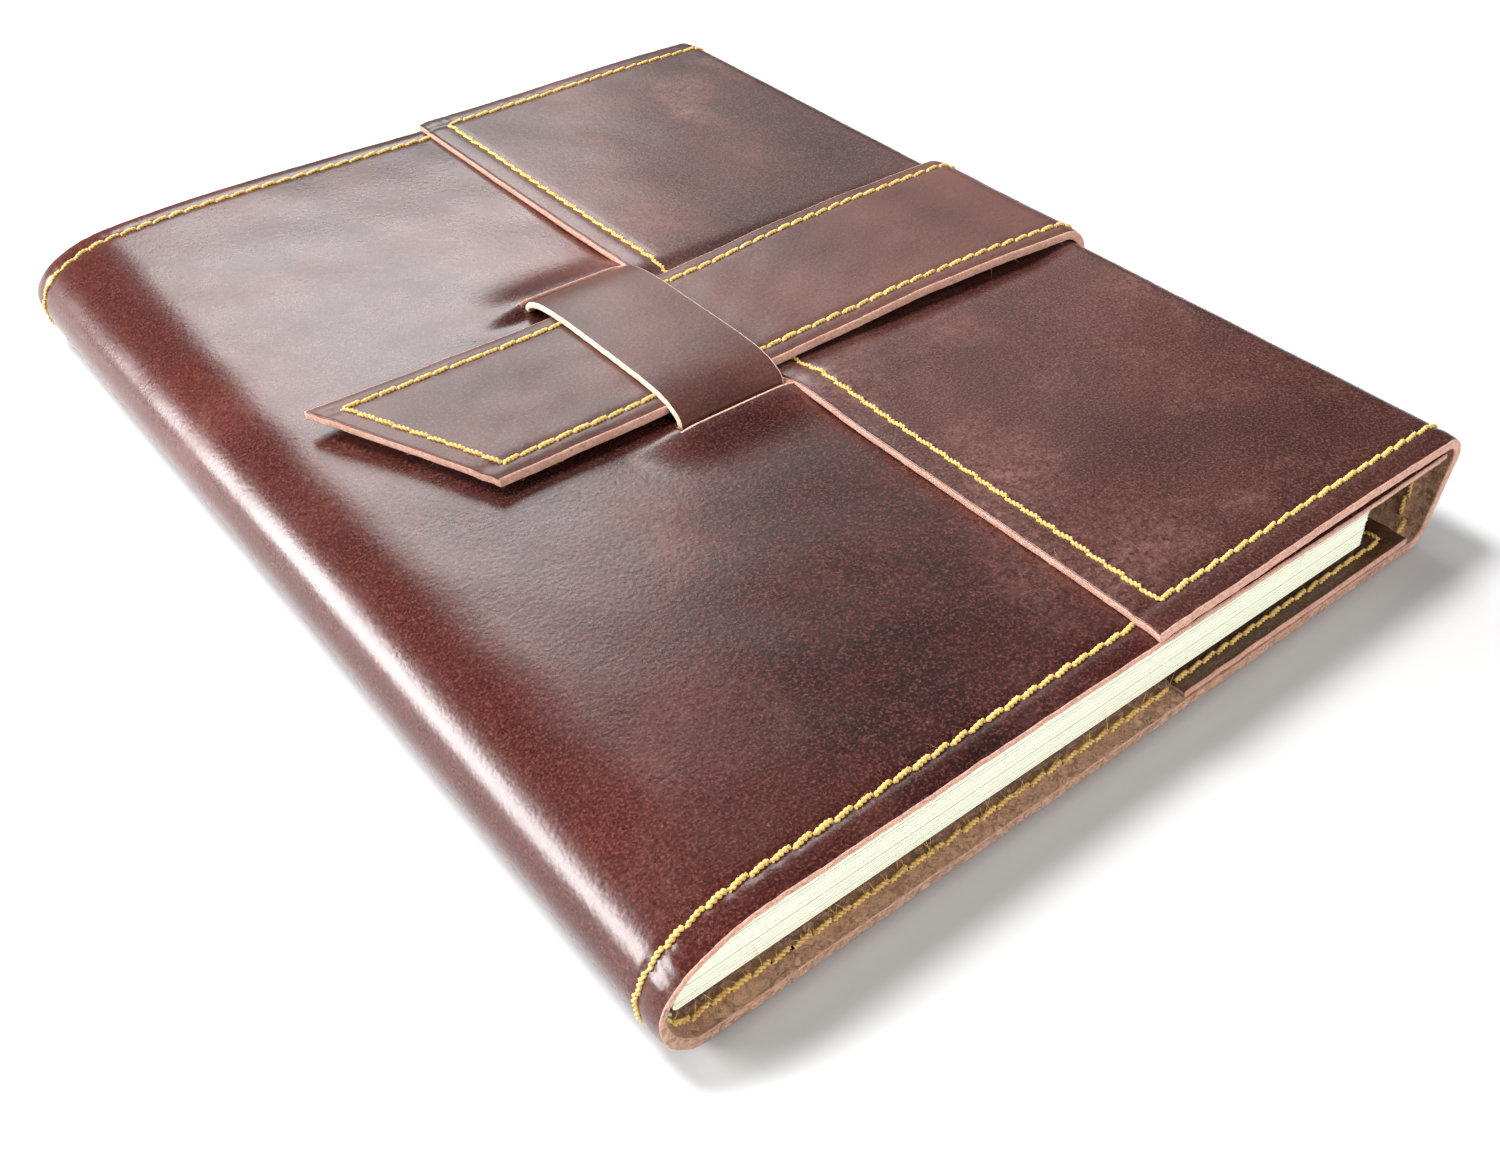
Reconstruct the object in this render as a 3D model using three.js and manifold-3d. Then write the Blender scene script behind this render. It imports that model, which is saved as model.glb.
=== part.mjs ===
// Refillable leather notebook cover with a fold-over flap, a strap and a keeper, holding an A5 notebook.
//
// One hide wraps the notebook: back panel, spine, front panel on one side and back panel, fore-edge wall,
// flap on the other. The hide is split here at its bends, so that each stretch can swing as the leather
// folds. Inside the pockets lie the notebook's card covers. The strap is sewn to the fore-edge wall, runs
// over the flap and is tucked under the keeper band.
//
// Millimetres. Before the last shift, X runs from the spine to the fore-edge, Y from tail to head, and Z up.

import * as THREE from 'three';
import { mergeVertices } from 'three/addons/utils/BufferGeometryUtils.js';
import Module from 'manifold-3d';

const wasm = await Module();
wasm.setup();

// ---- driving dimensions ----

const COVER_WIDTH = 170;
const COVER_HEIGHT = 220;
const LEATHER = 1.8;
const PANEL_TOP = 20.3; // outer face of the closed front panel
const CLEARANCE = 0.4; // air between layers that only lie on each other
const SEAM_INSET = 5; // seam line to cut edge

// spine: two elliptical quarters that meet at its outermost line
const SPINE_MID_Z = 9.5;
const SPINE_LOWER_REACH = 8;
const SPINE_UPPER_REACH = 18;

// fore-edge folds, outer radius and centres
const FOLD_RADIUS = 5;
const FLAP_TOP = PANEL_TOP + CLEARANCE + LEATHER;
const UPPER_FOLD = { x: COVER_WIDTH - FOLD_RADIUS, z: FLAP_TOP - FOLD_RADIUS };
const LOWER_FOLD = { x: UPPER_FOLD.x - 3.5, z: FOLD_RADIUS };

const FLAP_CUT_EDGE_X = 90.5;
const FRONT_CUT_EDGE_X = 165.3;

const POCKET_LEATHER = 1.2;
const POCKET_RIM = 7;
const BACK_POCKET_MOUTH_X = 101;
const BACK_POCKET_END_X = 161;
const FRONT_POCKET_MOUTH_X = 103.5;
const FRONT_POCKET_END_X = 164.6;
const CARD = 0.4;

const STRAP_CENTRE_Y = 108.5;
const STRAP_WIDTH_AT_KEEPER = 37;
const STRAP_WIDTH_AT_FOLD = 41;
const STRAP_BOTTOM = FLAP_TOP + CLEARANCE;
const STRAP_TOP = STRAP_BOTTOM + LEATHER;
const STRAP_LINK = 37.2; // fold to crest, and crest to tongue
const STRAP_TIP_FAR_X = 17.5;
const STRAP_TIP_NEAR_X = 34;
const STRAP_ANCHOR_LENGTH = 11;

const KEEPER = 1.0;
const KEEPER_MIN_X = 67;
const KEEPER_MAX_X = 89.8;
const KEEPER_CENTRE_Y = 111;
const SLIT_HALF_SPAN = 25.5;
const SLIT_WIDTH = 2.4;
const KEEPER_UNDERSIDE = STRAP_TOP + 0.5;

const PAGE_HEIGHT = 210;
const PAGE_TAIL_Y = 4;
const PAGE_BOTTOM = 4.2;
const SIGNATURES = 6;
const SIGNATURE_PITCH = 1.85;
const SIGNATURE_GAP = 0.1;
const FORE_EDGE_OF_PAGES = 151.5;
const CARD_SPAN = [9.5, 210.5];
const BACK_CARD_START_X = 9;
const FRONT_CARD_START_X = 25; // clear of the strap's tip while the cover swings
const KEEPER_TAB_ROOM = 1.2; // between the front panel and the front card

const THREAD_WIDTH = 0.8;
const THREAD_HEIGHT = 0.2;
const THREAD_LIFT = 0.05;

const SPLIT_GAP = 0.2; // between two stretches of one hide

// ---- materials ----

const finish = (color, roughness) => new THREE.MeshStandardMaterial({ color, roughness, metalness: 0 });
const HIDE = () => finish(0x54302a, 0.35);
const POCKET = () => finish(0x46291f, 0.5);
const THREAD = () => finish(0xd9b24a, 0.7);
const PAPER = () => finish(0xf3f5dc, 0.9);
const BOARD = () => finish(0xb9a484, 0.85);
const TAPE = () => finish(0xd8d2bf, 0.9);

// ---- shape helpers ----

const toRadians = THREE.MathUtils.degToRad;

// An outline drawn in X and Z, carried along Y from tailY to headY.
function alongY(shape, tailY, headY) {
  const geometry = new THREE.ExtrudeGeometry(shape, { depth: headY - tailY, bevelEnabled: false });
  geometry.rotateX(Math.PI / 2);
  geometry.translate(0, headY, 0);
  return geometry;
}

// An outline drawn in Y and Z, carried along X.
function alongX(shape, minX, maxX) {
  const geometry = new THREE.ExtrudeGeometry(shape, { depth: maxX - minX, bevelEnabled: false });
  const turn = new THREE.Matrix4().makeBasis(
    new THREE.Vector3(0, 1, 0),
    new THREE.Vector3(0, 0, 1),
    new THREE.Vector3(1, 0, 0),
  );
  geometry.applyMatrix4(turn);
  geometry.translate(minX, 0, 0);
  return geometry;
}

// An outline drawn in X and Y, carried up from bottom by height.
function upwards(shape, bottom, height) {
  const geometry = new THREE.ExtrudeGeometry(shape, { depth: height, bevelEnabled: false });
  geometry.translate(0, 0, bottom);
  return geometry;
}

function slab([minX, maxX], [minY, maxY], [minZ, maxZ]) {
  const geometry = new THREE.BoxGeometry(maxX - minX, maxY - minY, maxZ - minZ);
  geometry.translate((minX + maxX) / 2, (minY + maxY) / 2, (minZ + maxZ) / 2);
  return geometry;
}

function polygon(points) {
  return new THREE.Shape(points.map(([a, b]) => new THREE.Vector2(a, b)));
}

// A band of even width whose centre line is a polyline, with mitred corners.
function ribbon(points, width) {
  const line = points.map(([a, b]) => new THREE.Vector2(a, b));
  const normals = line.slice(1).map((point, i) => {
    const step = point.clone().sub(line[i]).normalize();
    return new THREE.Vector2(-step.y, step.x);
  });
  const sideAt = (i, sign) => {
    const before = normals[Math.max(i - 1, 0)];
    const after = normals[Math.min(i, normals.length - 1)];
    const mitre = before.clone().add(after).normalize();
    return line[i].clone().addScaledVector(mitre, (sign * width) / 2 / mitre.dot(after));
  };
  const left = line.map((_, i) => sideAt(i, 1));
  const right = line.map((_, i) => sideAt(i, -1));
  return new THREE.Shape([...left, ...right.reverse()]);
}

// Points on an ellipse in X and Z, each with the outward normal there. Angles in degrees.
function arc(centre, reachX, reachZ, fromAngle, toAngle, steps = 6) {
  return Array.from({ length: steps + 1 }, (_, i) => {
    const angle = toRadians(THREE.MathUtils.lerp(fromAngle, toAngle, i / steps));
    const normal = new THREE.Vector2(Math.cos(angle) / reachX, Math.sin(angle) / reachZ).normalize();
    return { x: centre.x + reachX * Math.cos(angle), z: centre.z + reachZ * Math.sin(angle), normal };
  });
}

const fold = (centre, fromAngle, toAngle, steps) =>
  arc(centre, FOLD_RADIUS, FOLD_RADIUS, fromAngle, toAngle, steps);

const flat = (x, z, normalX, normalZ) => ({ x, z, normal: new THREE.Vector2(normalX, normalZ) });

// The outline between two depths under a surface; a depth below zero lies outside it.
function layer(surface, nearDepth, farDepth) {
  const at = (depth) => surface.map((p) => [p.x - p.normal.x * depth, p.z - p.normal.y * depth]);
  return polygon([...at(nearDepth), ...at(farDepth).reverse()]);
}

const hideLayer = (surface) => layer(surface, 0, LEATHER);
const strapLayer = (surface) => layer(surface, -CLEARANCE, -CLEARANCE - LEATHER);
const threadLayer = (surface, under = 0) =>
  layer(surface, -under - THREAD_LIFT, -under - THREAD_LIFT - THREAD_HEIGHT);

function solid(geometry) {
  const bare = geometry.clone();
  bare.deleteAttribute('normal');
  bare.deleteAttribute('uv');
  const merged = mergeVertices(bare);
  return new wasm.Manifold(
    new wasm.Mesh({
      numProp: 3,
      vertProperties: new Float32Array(merged.attributes.position.array),
      triVerts: new Uint32Array(merged.index.array),
    }),
  );
}

function surfaceOf(manifold) {
  const mesh = manifold.getMesh();
  const geometry = new THREE.BufferGeometry();
  geometry.setAttribute('position', new THREE.BufferAttribute(new Float32Array(mesh.vertProperties), 3));
  geometry.setIndex(new THREE.BufferAttribute(new Uint32Array(mesh.triVerts), 1));
  return geometry;
}

const join = (...parts) => surfaceOf(parts.map(solid).reduce((whole, part) => whole.add(part)));

const cut = (body, ...holes) =>
  surfaceOf(holes.map(solid).reduce((rest, hole) => rest.subtract(hole), solid(body)));

const cover = new THREE.Group();

function place(name, geometry, material) {
  const mesh = new THREE.Mesh(geometry, material);
  mesh.name = name;
  cover.add(mesh);
}

// ---- surfaces of the hide ----

const SPINE_LOWER_CENTRE = { x: SPINE_LOWER_REACH, z: SPINE_MID_Z };
const SPINE_UPPER_CENTRE = { x: SPINE_UPPER_REACH, z: SPINE_MID_Z };
const SPINE_UPPER_RISE = PANEL_TOP - SPINE_MID_Z;
const SPLIT_ANGLE = 1; // degrees left free at a split in a bend

const spineLower = (from, to, steps) =>
  arc(SPINE_LOWER_CENTRE, SPINE_LOWER_REACH, SPINE_MID_Z, from, to, steps);
const spineUpper = (from, to, steps) =>
  arc(SPINE_UPPER_CENTRE, SPINE_UPPER_REACH, SPINE_UPPER_RISE, from, to, steps);

// The wall leans out by this angle below the horizontal of its own normal.
const WALL_RUN = new THREE.Vector2(UPPER_FOLD.x - LOWER_FOLD.x, UPPER_FOLD.z - LOWER_FOLD.z);
const WALL_LEAN = THREE.MathUtils.radToDeg(-Math.atan2(WALL_RUN.x, WALL_RUN.y));
const LOWER_SPLIT = (-90 + WALL_LEAN) / 2;
const UPPER_SPLIT = (WALL_LEAN + 90) / 2;

const wallSurface = [
  ...fold(LOWER_FOLD, LOWER_SPLIT + SPLIT_ANGLE, WALL_LEAN, 4),
  ...fold(UPPER_FOLD, WALL_LEAN, UPPER_SPLIT - SPLIT_ANGLE, 5),
];

// ---- hide ----

function buildHide() {
  place('spine_lower', alongY(hideLayer(spineLower(270, 180 + SPLIT_ANGLE, 8)), 0, COVER_HEIGHT), HIDE());

  const backSurface = [
    flat(SPINE_LOWER_REACH + SPLIT_GAP, 0, 0, -1),
    ...fold(LOWER_FOLD, -90, LOWER_SPLIT - SPLIT_ANGLE, 4),
  ];
  place('back_panel', alongY(hideLayer(backSurface), 0, COVER_HEIGHT), HIDE());

  place('spine_upper', alongY(hideLayer(spineUpper(180 - SPLIT_ANGLE, 90, 10)), 0, COVER_HEIGHT), HIDE());

  const slit = (y) =>
    slab(
      [KEEPER_MIN_X - 1.5, KEEPER_MAX_X + 1.5],
      [y - SLIT_WIDTH / 2, y + SLIT_WIDTH / 2],
      [PANEL_TOP - 2 * LEATHER, PANEL_TOP + LEATHER],
    );
  const panel = slab(
    [SPINE_UPPER_REACH + SPLIT_GAP, FRONT_CUT_EDGE_X],
    [0, COVER_HEIGHT],
    [PANEL_TOP - LEATHER, PANEL_TOP],
  );
  const slitPanel = cut(panel, slit(KEEPER_CENTRE_Y - SLIT_HALF_SPAN), slit(KEEPER_CENTRE_Y + SLIT_HALF_SPAN));
  place('front_panel', slitPanel, HIDE());

  place('fore_edge_wall', alongY(hideLayer(wallSurface), 0, COVER_HEIGHT), HIDE());

  const flapSurface = [
    ...fold(UPPER_FOLD, UPPER_SPLIT + SPLIT_ANGLE, 90, 5),
    flat(FLAP_CUT_EDGE_X, FLAP_TOP, 0, 1),
  ];
  place('flap_panel', alongY(hideLayer(flapSurface), 0, COVER_HEIGHT), HIDE());
}

// ---- pockets ----

const EDGE_MARGIN = 0.5;
const POCKET_SPAN = [EDGE_MARGIN, COVER_HEIGHT - EDGE_MARGIN];
const SEWN_GAP = 0.15;
// how far each pocket's middle stands off the panel it is sewn to; the front one also clears the keeper's tabs
const FRONT_STAND = 1.5;
const BACK_STAND = 0.6;

// A pocket lies against its panel along three sewn sides and stands off it in the middle. `against` is the
// panel's inner face, `away` is +1 where the pocket lies above the panel and -1 where it hangs below.
function pocketGeometry(mouthX, endX, against, away, stand) {
  const rimLevel = against + away * (SEWN_GAP + POCKET_LEATHER / 2);
  const middleLevel = rimLevel + away * stand;
  const [tail, head] = POCKET_SPAN;
  const section = ribbon(
    [
      [tail, rimLevel],
      [tail + POCKET_RIM, rimLevel],
      [tail + POCKET_RIM + 1.5, middleLevel],
      [head - POCKET_RIM - 1.5, middleLevel],
      [head - POCKET_RIM, rimLevel],
      [head, rimLevel],
    ],
    POCKET_LEATHER,
  );
  const rimStartX = endX - POCKET_RIM;
  const sheet = alongX(section, mouthX, rimStartX);
  const levels = (a, b) => [Math.min(a, b) - POCKET_LEATHER / 2, Math.max(a, b) + POCKET_LEATHER / 2];
  const step = slab(
    [rimStartX - POCKET_LEATHER, rimStartX],
    [tail + POCKET_RIM, head - POCKET_RIM],
    levels(rimLevel, middleLevel),
  );
  const rim = slab([rimStartX - POCKET_LEATHER, endX], POCKET_SPAN, levels(rimLevel, rimLevel));
  return join(sheet, step, rim);
}

function buildPockets() {
  const backFace = LEATHER;
  const frontFace = PANEL_TOP - LEATHER;
  const back = pocketGeometry(BACK_POCKET_MOUTH_X, BACK_POCKET_END_X, backFace, 1, BACK_STAND);
  place('back_pocket', back, POCKET());
  const front = pocketGeometry(FRONT_POCKET_MOUTH_X, FRONT_POCKET_END_X, frontFace, -1, FRONT_STAND);
  place('front_pocket', front, POCKET());
}

// ---- notebook ----

const PAGE_SPAN = [PAGE_TAIL_Y, PAGE_TAIL_Y + PAGE_HEIGHT];

// How far the spine's surface lies from X = 0 at a height, measured at a depth under it.
function spineInside(height, depth) {
  const upper = height > SPINE_MID_Z;
  const reachX = upper ? SPINE_UPPER_REACH : SPINE_LOWER_REACH;
  const reachZ = upper ? SPINE_UPPER_RISE : SPINE_MID_Z;
  const sine = (height - SPINE_MID_Z) / reachZ;
  const cosine = Math.sqrt(1 - sine * sine);
  const normal = new THREE.Vector2(cosine / reachX, sine / reachZ).normalize();
  return reachX * (1 - cosine) + depth / normal.x;
}

function signatureGeometry(index) {
  const bottom = PAGE_BOTTOM + index * SIGNATURE_PITCH;
  const radius = (SIGNATURE_PITCH - SIGNATURE_GAP) / 2;
  const middle = bottom + radius;
  const foldX = spineInside(middle, 3.6);
  const outline = new THREE.Shape();
  outline.moveTo(foldX + radius, bottom);
  outline.lineTo(FORE_EDGE_OF_PAGES, bottom);
  outline.lineTo(FORE_EDGE_OF_PAGES, bottom + 2 * radius);
  outline.lineTo(foldX + radius, bottom + 2 * radius);
  outline.absarc(foldX + radius, middle, radius, Math.PI / 2, (3 * Math.PI) / 2, false);
  return alongY(outline, ...PAGE_SPAN);
}

function buildNotebook() {
  for (let index = 0; index < SIGNATURES; index += 1) {
    place(`page_signature_${index + 1}`, signatureGeometry(index), PAPER());
  }

  const TAPE_OUTER = 2.2;
  const TAPE_INNER = 2.7;
  const tapeSurface = [...spineLower(228, 186, 5), ...spineUpper(180, 156, 4)];
  place('notebook_spine_tape', alongY(layer(tapeSurface, TAPE_OUTER, TAPE_INNER), ...PAGE_SPAN), TAPE());

  const backCardBottom = LEATHER + 0.2;
  place(
    'notebook_back_card',
    slab([BACK_CARD_START_X, FORE_EDGE_OF_PAGES], CARD_SPAN, [backCardBottom, backCardBottom + CARD]),
    BOARD(),
  );
  const frontCardTop = PANEL_TOP - LEATHER - KEEPER_TAB_ROOM;
  place(
    'notebook_front_card',
    slab([FRONT_CARD_START_X, FORE_EDGE_OF_PAGES], CARD_SPAN, [frontCardTop - CARD, frontCardTop]),
    BOARD(),
  );
}

// ---- keeper ----

function buildKeeper() {
  const tabLevel = PANEL_TOP - LEATHER - 0.1 - KEEPER / 2;
  const crownLevel = KEEPER_UNDERSIDE + KEEPER / 2;
  const tab = 9;
  const lean = 2;
  const near = KEEPER_CENTRE_Y - SLIT_HALF_SPAN;
  const far = KEEPER_CENTRE_Y + SLIT_HALF_SPAN;
  const section = ribbon(
    [
      [near - tab, tabLevel],
      [near, tabLevel],
      [near, PANEL_TOP + 0.5],
      [near + lean, crownLevel],
      [far - lean, crownLevel],
      [far, PANEL_TOP + 0.5],
      [far, tabLevel],
      [far + tab, tabLevel],
    ],
    KEEPER,
  );
  place('keeper_band', alongX(section, KEEPER_MIN_X, KEEPER_MAX_X), HIDE());
}

// ---- strap ----

const HINGE_X = UPPER_FOLD.x;
const CREST_X = HINGE_X - STRAP_LINK;
const TONGUE_X = CREST_X - STRAP_LINK;

// Half the strap's width: full at the fold, narrowing evenly to the keeper, and even from there on.
function strapHalfWidth(x) {
  const share = THREE.MathUtils.clamp((x - TONGUE_X) / (HINGE_X - TONGUE_X), 0, 1);
  return THREE.MathUtils.lerp(STRAP_WIDTH_AT_KEEPER, STRAP_WIDTH_AT_FOLD, share) / 2;
}

function strapLength(minX, maxX) {
  const a = strapHalfWidth(minX);
  const b = strapHalfWidth(maxX);
  const y = STRAP_CENTRE_Y;
  return upwards(polygon([[minX, y - a], [maxX, y - b], [maxX, y + b], [minX, y + a]]), STRAP_BOTTOM, LEATHER);
}

function buildStrap() {
  const half = STRAP_WIDTH_AT_FOLD / 2;
  const sides = [STRAP_CENTRE_Y - half, STRAP_CENTRE_Y + half];

  const bendStart = fold(UPPER_FOLD, WALL_LEAN, UPPER_SPLIT - SPLIT_ANGLE, 5);
  const down = WALL_RUN.clone().normalize().multiplyScalar(-STRAP_ANCHOR_LENGTH);
  const [top] = bendStart;
  const anchorSurface = [flat(top.x + down.x, top.z + down.y, top.normal.x, top.normal.y), ...bendStart];
  place('strap_anchor', alongY(strapLayer(anchorSurface), ...sides), HIDE());

  const bendSurface = fold(UPPER_FOLD, UPPER_SPLIT + SPLIT_ANGLE, 90, 5);
  place('strap_bend', alongY(strapLayer(bendSurface), ...sides), HIDE());

  place('strap_base', strapLength(CREST_X + SPLIT_GAP, HINGE_X - SPLIT_GAP), HIDE());
  place('strap_middle', strapLength(TONGUE_X + SPLIT_GAP, CREST_X - SPLIT_GAP), HIDE());

  const tongueHalf = STRAP_WIDTH_AT_KEEPER / 2;
  const tongue = polygon([
    [STRAP_TIP_NEAR_X, STRAP_CENTRE_Y - tongueHalf],
    [TONGUE_X - SPLIT_GAP, STRAP_CENTRE_Y - tongueHalf],
    [TONGUE_X - SPLIT_GAP, STRAP_CENTRE_Y + tongueHalf],
    [STRAP_TIP_FAR_X, STRAP_CENTRE_Y + tongueHalf],
  ]);
  place('strap_tongue', upwards(tongue, STRAP_BOTTOM, LEATHER), HIDE());
}

// ---- seams: each seam's thread as one plain bar along its line ----

const SEAM_LINES = { tail: SEAM_INSET, head: COVER_HEIGHT - SEAM_INSET };
const aroundSeam = (y) => [y - THREAD_WIDTH / 2, y + THREAD_WIDTH / 2];
const SEAM_END_X = 158.5;

function buildEdgeSeams() {
  for (const [side, y] of Object.entries(SEAM_LINES)) {
    const band = aroundSeam(y);
    const overFront = [...spineUpper(178, 90, 10), flat(SEAM_END_X, PANEL_TOP, 0, 1)];
    place(`front_seam_${side}`, alongY(threadLayer(overFront), ...band), THREAD());

    place(`spine_seam_${side}`, alongY(threadLayer(spineLower(238, 182, 5)), ...band), THREAD());

    const overWall = [
      ...fold(LOWER_FOLD, LOWER_SPLIT + 6, WALL_LEAN, 3),
      ...fold(UPPER_FOLD, WALL_LEAN, UPPER_SPLIT - 3, 4),
    ];
    place(`wall_seam_${side}`, alongY(threadLayer(overWall), ...band), THREAD());

    // inside the back, the thread climbs from the panel onto the pocket's rim at the pocket's mouth
    const panelLevel = LEATHER + THREAD_LIFT + THREAD_HEIGHT / 2;
    const rimLevel = LEATHER + SEWN_GAP + POCKET_LEATHER + THREAD_LIFT + THREAD_HEIGHT / 2;
    const inside = ribbon(
      [
        [SPINE_LOWER_REACH + 1, panelLevel],
        [BACK_POCKET_MOUTH_X - 0.4, panelLevel],
        [BACK_POCKET_MOUTH_X - 0.4, rimLevel],
        [SEAM_END_X, rimLevel],
      ],
      THREAD_HEIGHT,
    );
    place(`back_seam_${side}`, alongY(inside, ...band), THREAD());
  }
}

function buildFlapSeam() {
  const { tail, head } = SEAM_LINES;
  const cornerX = FLAP_CUT_EDGE_X + SEAM_INSET;
  const line = [
    [UPPER_FOLD.x, tail],
    [cornerX, tail],
    [cornerX, head],
    [UPPER_FOLD.x, head],
  ];
  place('flap_seam', upwards(ribbon(line, THREAD_WIDTH), FLAP_TOP + THREAD_LIFT, THREAD_HEIGHT), THREAD());
}

function buildStrapSeams() {
  const inset = 3.5;
  const level = STRAP_TOP + THREAD_LIFT;
  const bar = (points) => upwards(ribbon(points, THREAD_WIDTH), level, THREAD_HEIGHT);
  const sides = [['tail', -1], ['head', 1]];
  const lengths = [
    ['base', CREST_X + 1, HINGE_X - 1],
    ['middle', TONGUE_X + 1, CREST_X - 1],
  ];
  for (const [side, sign] of sides) {
    const lineAt = (x) => [x, STRAP_CENTRE_Y + sign * (strapHalfWidth(x) - inset)];
    for (const [length, minX, maxX] of lengths) {
      place(`strap_${length}_seam_${side}`, bar([lineAt(minX), lineAt(maxX)]), THREAD());
    }
    const bendLine = STRAP_CENTRE_Y + sign * (STRAP_WIDTH_AT_FOLD / 2 - inset);
    const bend = threadLayer(fold(UPPER_FOLD, UPPER_SPLIT + 4, 90, 4), CLEARANCE + LEATHER);
    place(`strap_bend_seam_${side}`, alongY(bend, ...aroundSeam(bendLine)), THREAD());
  }

  const half = STRAP_WIDTH_AT_KEEPER / 2 - inset;
  const tip = inset * 1.35;
  place(
    'strap_tongue_seam',
    bar([
      [TONGUE_X - 1, STRAP_CENTRE_Y - half],
      [STRAP_TIP_NEAR_X + tip, STRAP_CENTRE_Y - half],
      [STRAP_TIP_FAR_X + tip + 1.5, STRAP_CENTRE_Y + half],
      [TONGUE_X - 1, STRAP_CENTRE_Y + half],
    ]),
    THREAD(),
  );

  // the row that holds the strap to the wall
  const [start] = fold(UPPER_FOLD, WALL_LEAN, WALL_LEAN + 1, 1);
  const along = WALL_RUN.clone().normalize();
  const at = (distance) =>
    flat(start.x - along.x * distance, start.z - along.y * distance, start.normal.x, start.normal.y);
  const row = threadLayer([at(STRAP_ANCHOR_LENGTH - 2.5), at(STRAP_ANCHOR_LENGTH - 3.3)], CLEARANCE + LEATHER);
  place('strap_anchor_seam', alongY(row, STRAP_CENTRE_Y - half, STRAP_CENTRE_Y + half), THREAD());
}

// ---- assembly ----

buildHide();
buildPockets();
buildNotebook();
buildKeeper();
buildStrap();
buildEdgeSeams();
buildFlapSeam();
buildStrapSeams();

// the origin goes under the middle of the whole closed cover, on the face it lies on
const extent = new THREE.Box3().setFromObject(cover);
const middle = extent.getCenter(new THREE.Vector3());
cover.position.set(-middle.x, -middle.y, -extent.min.z);

export default cover;
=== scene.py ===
"""Looks of the leather notebook cover: stitched hide, flap, strap, keeper, pockets and the notebook inside.

Lengths are in millimetres from the spine's outermost line (x), the tail edge (y) and the table (z), and
to_world() puts them into the shared frame in metres.
"""

import math

import bmesh
import bpy
import numpy as np
from mathutils import Matrix, Vector


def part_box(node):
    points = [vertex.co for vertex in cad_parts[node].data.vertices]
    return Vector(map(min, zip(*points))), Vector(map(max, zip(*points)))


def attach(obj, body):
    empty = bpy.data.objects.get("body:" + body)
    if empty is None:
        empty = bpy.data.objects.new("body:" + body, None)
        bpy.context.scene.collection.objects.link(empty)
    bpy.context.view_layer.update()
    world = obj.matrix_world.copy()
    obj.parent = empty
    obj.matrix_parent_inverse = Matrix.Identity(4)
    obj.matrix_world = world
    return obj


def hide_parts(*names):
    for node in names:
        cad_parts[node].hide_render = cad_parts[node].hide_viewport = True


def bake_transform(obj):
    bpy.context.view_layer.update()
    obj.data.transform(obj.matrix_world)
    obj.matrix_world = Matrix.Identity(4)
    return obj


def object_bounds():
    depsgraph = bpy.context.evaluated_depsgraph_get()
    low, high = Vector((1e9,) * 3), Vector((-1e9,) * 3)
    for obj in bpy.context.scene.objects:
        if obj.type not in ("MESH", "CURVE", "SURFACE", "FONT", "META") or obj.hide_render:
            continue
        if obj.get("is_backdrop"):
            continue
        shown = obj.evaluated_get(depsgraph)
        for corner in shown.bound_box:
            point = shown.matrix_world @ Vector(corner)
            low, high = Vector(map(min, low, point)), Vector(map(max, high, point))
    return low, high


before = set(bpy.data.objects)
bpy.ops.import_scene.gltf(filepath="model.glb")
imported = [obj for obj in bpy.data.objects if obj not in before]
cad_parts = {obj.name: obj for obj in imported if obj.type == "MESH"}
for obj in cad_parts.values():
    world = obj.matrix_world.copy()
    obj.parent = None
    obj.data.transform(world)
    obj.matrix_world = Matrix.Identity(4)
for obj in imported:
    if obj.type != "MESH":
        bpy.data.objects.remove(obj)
cad_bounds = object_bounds()

# ---- dimensions ----
# read from the frame where one of its nodes gives them; the others are chosen to suit those

MM = 0.001
ORIGIN = np.array([*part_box("spine_lower")[0][:2], 0.0]) / MM


def node_box(name):
    """Lowest and highest corner of a CAD node, in millimetres of this script."""
    low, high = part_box(name)
    return np.array(low) / MM - ORIGIN, np.array(high) / MM - ORIGIN


def middle(low, high, axis):
    return 0.5 * (low[axis] + high[axis])


HEIGHT = node_box("spine_lower")[1][1]
front_low, front_high = node_box("front_panel")
flap_low, flap_high = node_box("flap_panel")
LEATHER = front_high[2] - front_low[2]
PANEL_TOP = front_high[2]
FLAP_TOP = flap_high[2]
FLAP_CUT_X = flap_low[0]
FRONT_CUT_X = front_high[0]
FOLD_R = 5.0
FOLD_X = 165.0
WALL_SLOPE = 3.5
SPINE_Z = 9.5
SPINE_LOWER_X = 8.0
SPINE_UPPER_X = 18.0
UPPER_FOLD = (FOLD_X, FLAP_TOP - FOLD_R)
LOWER_FOLD = (FOLD_X - WALL_SLOPE, FOLD_R)
WALL_LEAN = -math.degrees(math.atan2(WALL_SLOPE, UPPER_FOLD[1] - LOWER_FOLD[1]))

# how far the seams run from the cut edges, and how long a stitch is
SEAM = 5.0
INNER_SEAM = 3.4
FORE_SEAM = 4.5
STRAP_SEAM = 3.5
PITCH = 3.5

strap_low, strap_high = node_box("strap_tongue")
fold_low, fold_high = node_box("strap_bend")
STRAP_TOP = strap_high[2]
STRAP_Y = middle(strap_low, strap_high, 1)
HALF_AT_KEEPER = 0.5 * (strap_high[1] - strap_low[1])
HALF_AT_FOLD = 0.5 * (fold_high[1] - fold_low[1])
STRAP_GAP = 0.4
TONGUE_X = strap_high[0] + 0.2
CREST_X = 0.5 * (FOLD_X + TONGUE_X)
TIP_FAR_X = strap_low[0]
TIP_NEAR_X = TIP_FAR_X + 16.5

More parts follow.
